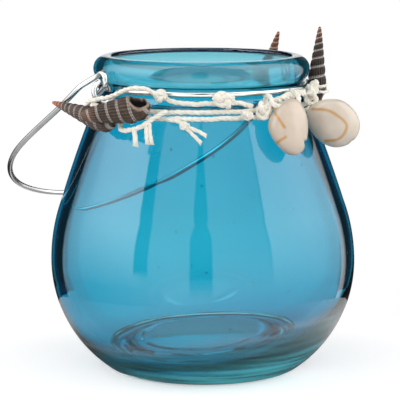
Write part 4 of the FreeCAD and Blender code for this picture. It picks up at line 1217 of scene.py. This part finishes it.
def azimuth_share(tree, place):
    """A place's azimuth as a share of the way round, from 0 behind by the left to 1."""
    parts = add_node(tree, "ShaderNodeSeparateXYZ", {"Vector": place})
    towards = add_node(tree, "ShaderNodeMath", {0: parts.outputs["Y"], 1: -1.0}, operation="MULTIPLY")
    azimuth = add_node(tree, "ShaderNodeMath", {0: parts.outputs["X"], 1: towards}, operation="ARCTAN2")
    return add_node(tree, "ShaderNodeMapRange", {"Value": azimuth, "From Min": -math.pi, "From Max": math.pi})


bm = bmesh.new()
bmesh.ops.create_circle(bm, cap_ends=True, segments=FLOOR_FACETS, radius=FLOOR_REACH)
floor_mesh = finish_mesh(bm, "floor")
# White paper is matt and even. Under the jar, where the glass shows it, a painted shadow of the jar greys it
paper, tree, shader = start_material("white paper floor")
feed_node(tree, shader, {"Base Color": colour(FLOOR_COLOUR), "Roughness": 1.0, "Specular IOR Level": 0.0})
path = add_node(tree, "ShaderNodeLightPath")
mirrored = path.outputs["Is Glossy Ray"]
passed = path.outputs["Is Transmission Ray"]
seen = add_node(tree, "ShaderNodeMath", {0: mirrored, 1: passed}, operation="MAXIMUM")
place = add_node(tree, "ShaderNodeTexCoord").outputs["Object"]
reach = add_node(tree, "ShaderNodeVectorMath", {0: place}, operation="LENGTH")
# Painted shadow of the jar: the floor goes darker under it, as the glass shows it
under = add_node(tree, "ShaderNodeMapRange", {"Value": reach, "From Min": SHADE_RADIUS[0],
                                              "From Max": SHADE_RADIUS[1], "To Min": SHADE, "To Max": 1.0},
                 interpolation_type="SMOOTHSTEP")
glow = add_node(tree, "ShaderNodeEmission", {"Color": WHITE, "Strength": FLOOR_GLOW})
lit = add_node(tree, "ShaderNodeAddShader", {0: shader, 1: glow})
# Painted shadow of the jar: the floor's reflected brightness falls close to the foot
gleam = add_node(tree, "ShaderNodeMapRange", {"Value": reach, "From Min": GLEAM_RADIUS[0],
                                              "From Max": GLEAM_RADIUS[1],
                                              "To Min": FOOT_GLEAM * GLEAM_BRIGHTEST,
                                              "To Max": GLEAM_BRIGHTEST}, interpolation_type="SMOOTHSTEP")
bearing = add_node(tree, "ShaderNodeValToRGB", {"Fac": azimuth_share(tree, place)})
set_ramp(bearing, grey_stops(FLOOR_GLEAM, -180, 180, GLEAM_BRIGHTEST))
gleam = add_node(tree, "ShaderNodeMath", {0: gleam, 1: bearing}, operation="MULTIPLY")
gleam = add_node(tree, "ShaderNodeMix", {"Factor": passed, 2: gleam, 3: under})
white = add_node(tree, "ShaderNodeEmission", {"Color": WHITE, "Strength": gleam})
either = add_node(tree, "ShaderNodeMixShader", {0: seen, 1: lit, 2: white})
feed_node(tree, tree.nodes["Material Output"], {"Surface": either})
floor = add_object("floor", floor_mesh, paper)
floor.location.z = -FLOOR_DROP

# Brightness of the surround by azimuth, as glass and metal see it
BRIGHTEST = 3.9
SURROUND = ((-180, 1), (-173, 1), (-171, 0.02), (-132, 0.02), (-128, 0.9), (-121, 1.4), (-112, 1.9),
            (-98, 3.1), (-75, 3.9), (-48.5, 3.9), (-46.5, 1.6), (51.2, 1.15), (51.7, 0.3), (52.3, 0.3),
            (52.8, 3.3), (93, 3.3), (105, 2.8), (119, 2.2), (127, 1.9), (134, 1.5), (138, 0.02),
            (171, 0.02), (173, 1), (180, 1))
# Brightness of the cards behind by the angle from the front, as it is seen through the glass
CARDS = ((0, 1), (134, 1), (138, 0.05), (158, 0.05), (163, 1), (180, 1))
# The heights between which the floor's brightness gives way to the screens', and where that ends behind
SCREEN_FOOT = (-0.25, 0.30)
BEHIND = math.radians(128)
# Each gap's azimuth and half width, the heights over which it narrows to nothing, and those where it ends
# below. The left gap is even and the middle one a wedge.
GAPS = ((-47.2, 5.6, (2.0, 3.0), (-0.15, -0.03)), (-1.5, 8.5, (0.375, 0.643), (-0.42, -0.05)))
GAP_EDGE = 0.015
AMBIENT = 0.35
world = bpy.data.worlds.new("studio")
world.use_nodes = True
tree = world.node_tree
way = add_node(tree, "ShaderNodeTexCoord").outputs["Generated"]
height = add_node(tree, "ShaderNodeSeparateXYZ", {"Vector": way}).outputs["Z"]
round_share = azimuth_share(tree, way)
azimuth = add_node(tree, "ShaderNodeMapRange", {"Value": round_share, "To Min": -math.pi, "To Max": math.pi})
screens = add_node(tree, "ShaderNodeValToRGB", {"Fac": round_share})
set_ramp(screens, grey_stops(SURROUND, -180, 180, BRIGHTEST))
below = add_node(tree, "ShaderNodeValToRGB", {"Fac": round_share})
set_ramp(below, grey_stops(FLOOR_GLEAM, -180, 180, GLEAM_BRIGHTEST))
below = add_node(tree, "ShaderNodeVectorMath", {0: below, "Scale": GLEAM_BRIGHTEST}, operation="SCALE")
bright = add_node(tree, "ShaderNodeVectorMath", {0: screens, "Scale": BRIGHTEST}, operation="SCALE")
rise = add_node(tree, "ShaderNodeMapRange", {"Value": height, "From Min": SCREEN_FOOT[0],
                                             "From Max": SCREEN_FOOT[1]})
turned = add_node(tree, "ShaderNodeMath", {0: azimuth}, operation="ABSOLUTE")
behind = add_node(tree, "ShaderNodeMath", {0: turned, 1: BEHIND}, operation="GREATER_THAN")
share = add_node(tree, "ShaderNodeMath", {0: rise, 1: behind}, operation="MAXIMUM")
around = add_node(tree, "ShaderNodeMix", {"Factor": share, 6: below, 7: bright}, data_type="RGBA")
for turn, half_width, narrowing, foot in GAPS:
    aside = add_node(tree, "ShaderNodeMath", {0: azimuth, 1: math.radians(turn)}, operation="SUBTRACT")
    aside = add_node(tree, "ShaderNodeMath", {0: aside}, operation="ABSOLUTE")
    half = add_node(tree, "ShaderNodeMapRange", {"Value": height, "From Min": narrowing[0],
                                                 "From Max": narrowing[1], "To Min": math.radians(half_width),
                                                 "To Max": 0.0})
    beyond = add_node(tree, "ShaderNodeMath", {0: aside, 1: half}, operation="SUBTRACT")
    gap = add_node(tree, "ShaderNodeMapRange", {"Value": beyond, "From Min": -GAP_EDGE, "From Max": GAP_EDGE,
                                                "To Min": 1.0, "To Max": 0.0},
                   interpolation_type="SMOOTHSTEP")
    above = add_node(tree, "ShaderNodeMapRange", {"Value": height, "From Min": foot[0], "From Max": foot[1]},
                     interpolation_type="SMOOTHSTEP")
    dark = add_node(tree, "ShaderNodeMath", {0: gap, 1: above}, operation="MULTIPLY")
    left = add_node(tree, "ShaderNodeMath", {0: 1.0, 1: dark}, operation="SUBTRACT")
    around = add_node(tree, "ShaderNodeVectorMath", {0: around, "Scale": left}, operation="SCALE")
aside = add_node(tree, "ShaderNodeMath", {0: turned, 1: math.pi}, operation="DIVIDE")
cards = add_node(tree, "ShaderNodeValToRGB", {"Fac": aside})
set_ramp(cards, grey_stops(CARDS, 0, 180))
path = add_node(tree, "ShaderNodeLightPath")
mirrored = path.outputs["Is Glossy Ray"]
passed = path.outputs["Is Transmission Ray"]
seen = add_node(tree, "ShaderNodeMath", {0: mirrored, 1: passed}, operation="MAXIMUM")
through = add_node(tree, "ShaderNodeMix", {"Factor": passed, 6: around, 7: cards}, data_type="RGBA")
dim = add_node(tree, "ShaderNodeMix", {"Factor": seen, 6: (AMBIENT, AMBIENT, AMBIENT, 1), 7: through},
               data_type="RGBA")
shown = add_node(tree, "ShaderNodeMix", {"Factor": path.outputs["Is Camera Ray"], 6: dim, 7: WHITE},
                 data_type="RGBA")
feed_node(tree, tree.nodes["Background"], {"Color": shown, "Strength": 1.0})
bpy.context.scene.world = world

# Each soft lamp spans two azimuths and has a brightness
LAMP_DISTANCE = 1.0
LAMP_HEIGHT = 1.6
LAMPS = {"left_lamp": (-120, -51, 1.75), "left_front_lamp": (-47, -2, 0.9),
         "right_front_lamp": (4, 54, 0.9), "right_lamp": (56, 120, 1.75)}
for name, (first, last, brightness) in LAMPS.items():
    width = 2 * LAMP_DISTANCE * math.tan(math.radians((last - first) / 2))
    light = bpy.data.lights.new(name, "AREA")
    light.shape = "RECTANGLE"
    light.size = width
    light.size_y = LAMP_HEIGHT
    light.energy = brightness * math.pi * width * LAMP_HEIGHT
    lamp = bpy.data.objects.new(name, light)
    lamp.location = outward((first + last) / 2) * LAMP_DISTANCE + UP * LAMP_HEIGHT / 2
    lamp.rotation_euler = (math.radians(90), 0, math.radians((first + last) / 2))
    lamp.visible_camera = False
    lamp.visible_glossy = False
    lamp.visible_transmission = False
    bpy.context.scene.collection.objects.link(lamp)

# The camera stands in front and looks a little down through a long lens
CAMERA_PITCH = math.radians(8.94)
CAMERA_DISTANCE = 0.600
CAMERA_AIM = Vector((-0.0008, 0, 0.05468))
CAMERA_SENSOR = 36.0
CAMERA_LENS = 163.98
camera_data = bpy.data.cameras.new("camera")
camera_data.sensor_width = CAMERA_SENSOR
camera_data.lens = CAMERA_LENS
camera = bpy.data.objects.new("camera", camera_data)
camera.location = CAMERA_AIM + Vector((0, -math.cos(CAMERA_PITCH), math.sin(CAMERA_PITCH))) * CAMERA_DISTANCE
camera.rotation_euler = (math.pi / 2 - CAMERA_PITCH, 0, 0)
bpy.context.scene.collection.objects.link(camera)
bpy.context.scene.camera = camera
bpy.context.scene.view_settings.view_transform = "Standard"
bpy.context.scene.cycles.glossy_bounces = 12
bpy.context.scene.cycles.transmission_bounces = 16
bpy.context.scene.cycles.max_bounces = 20
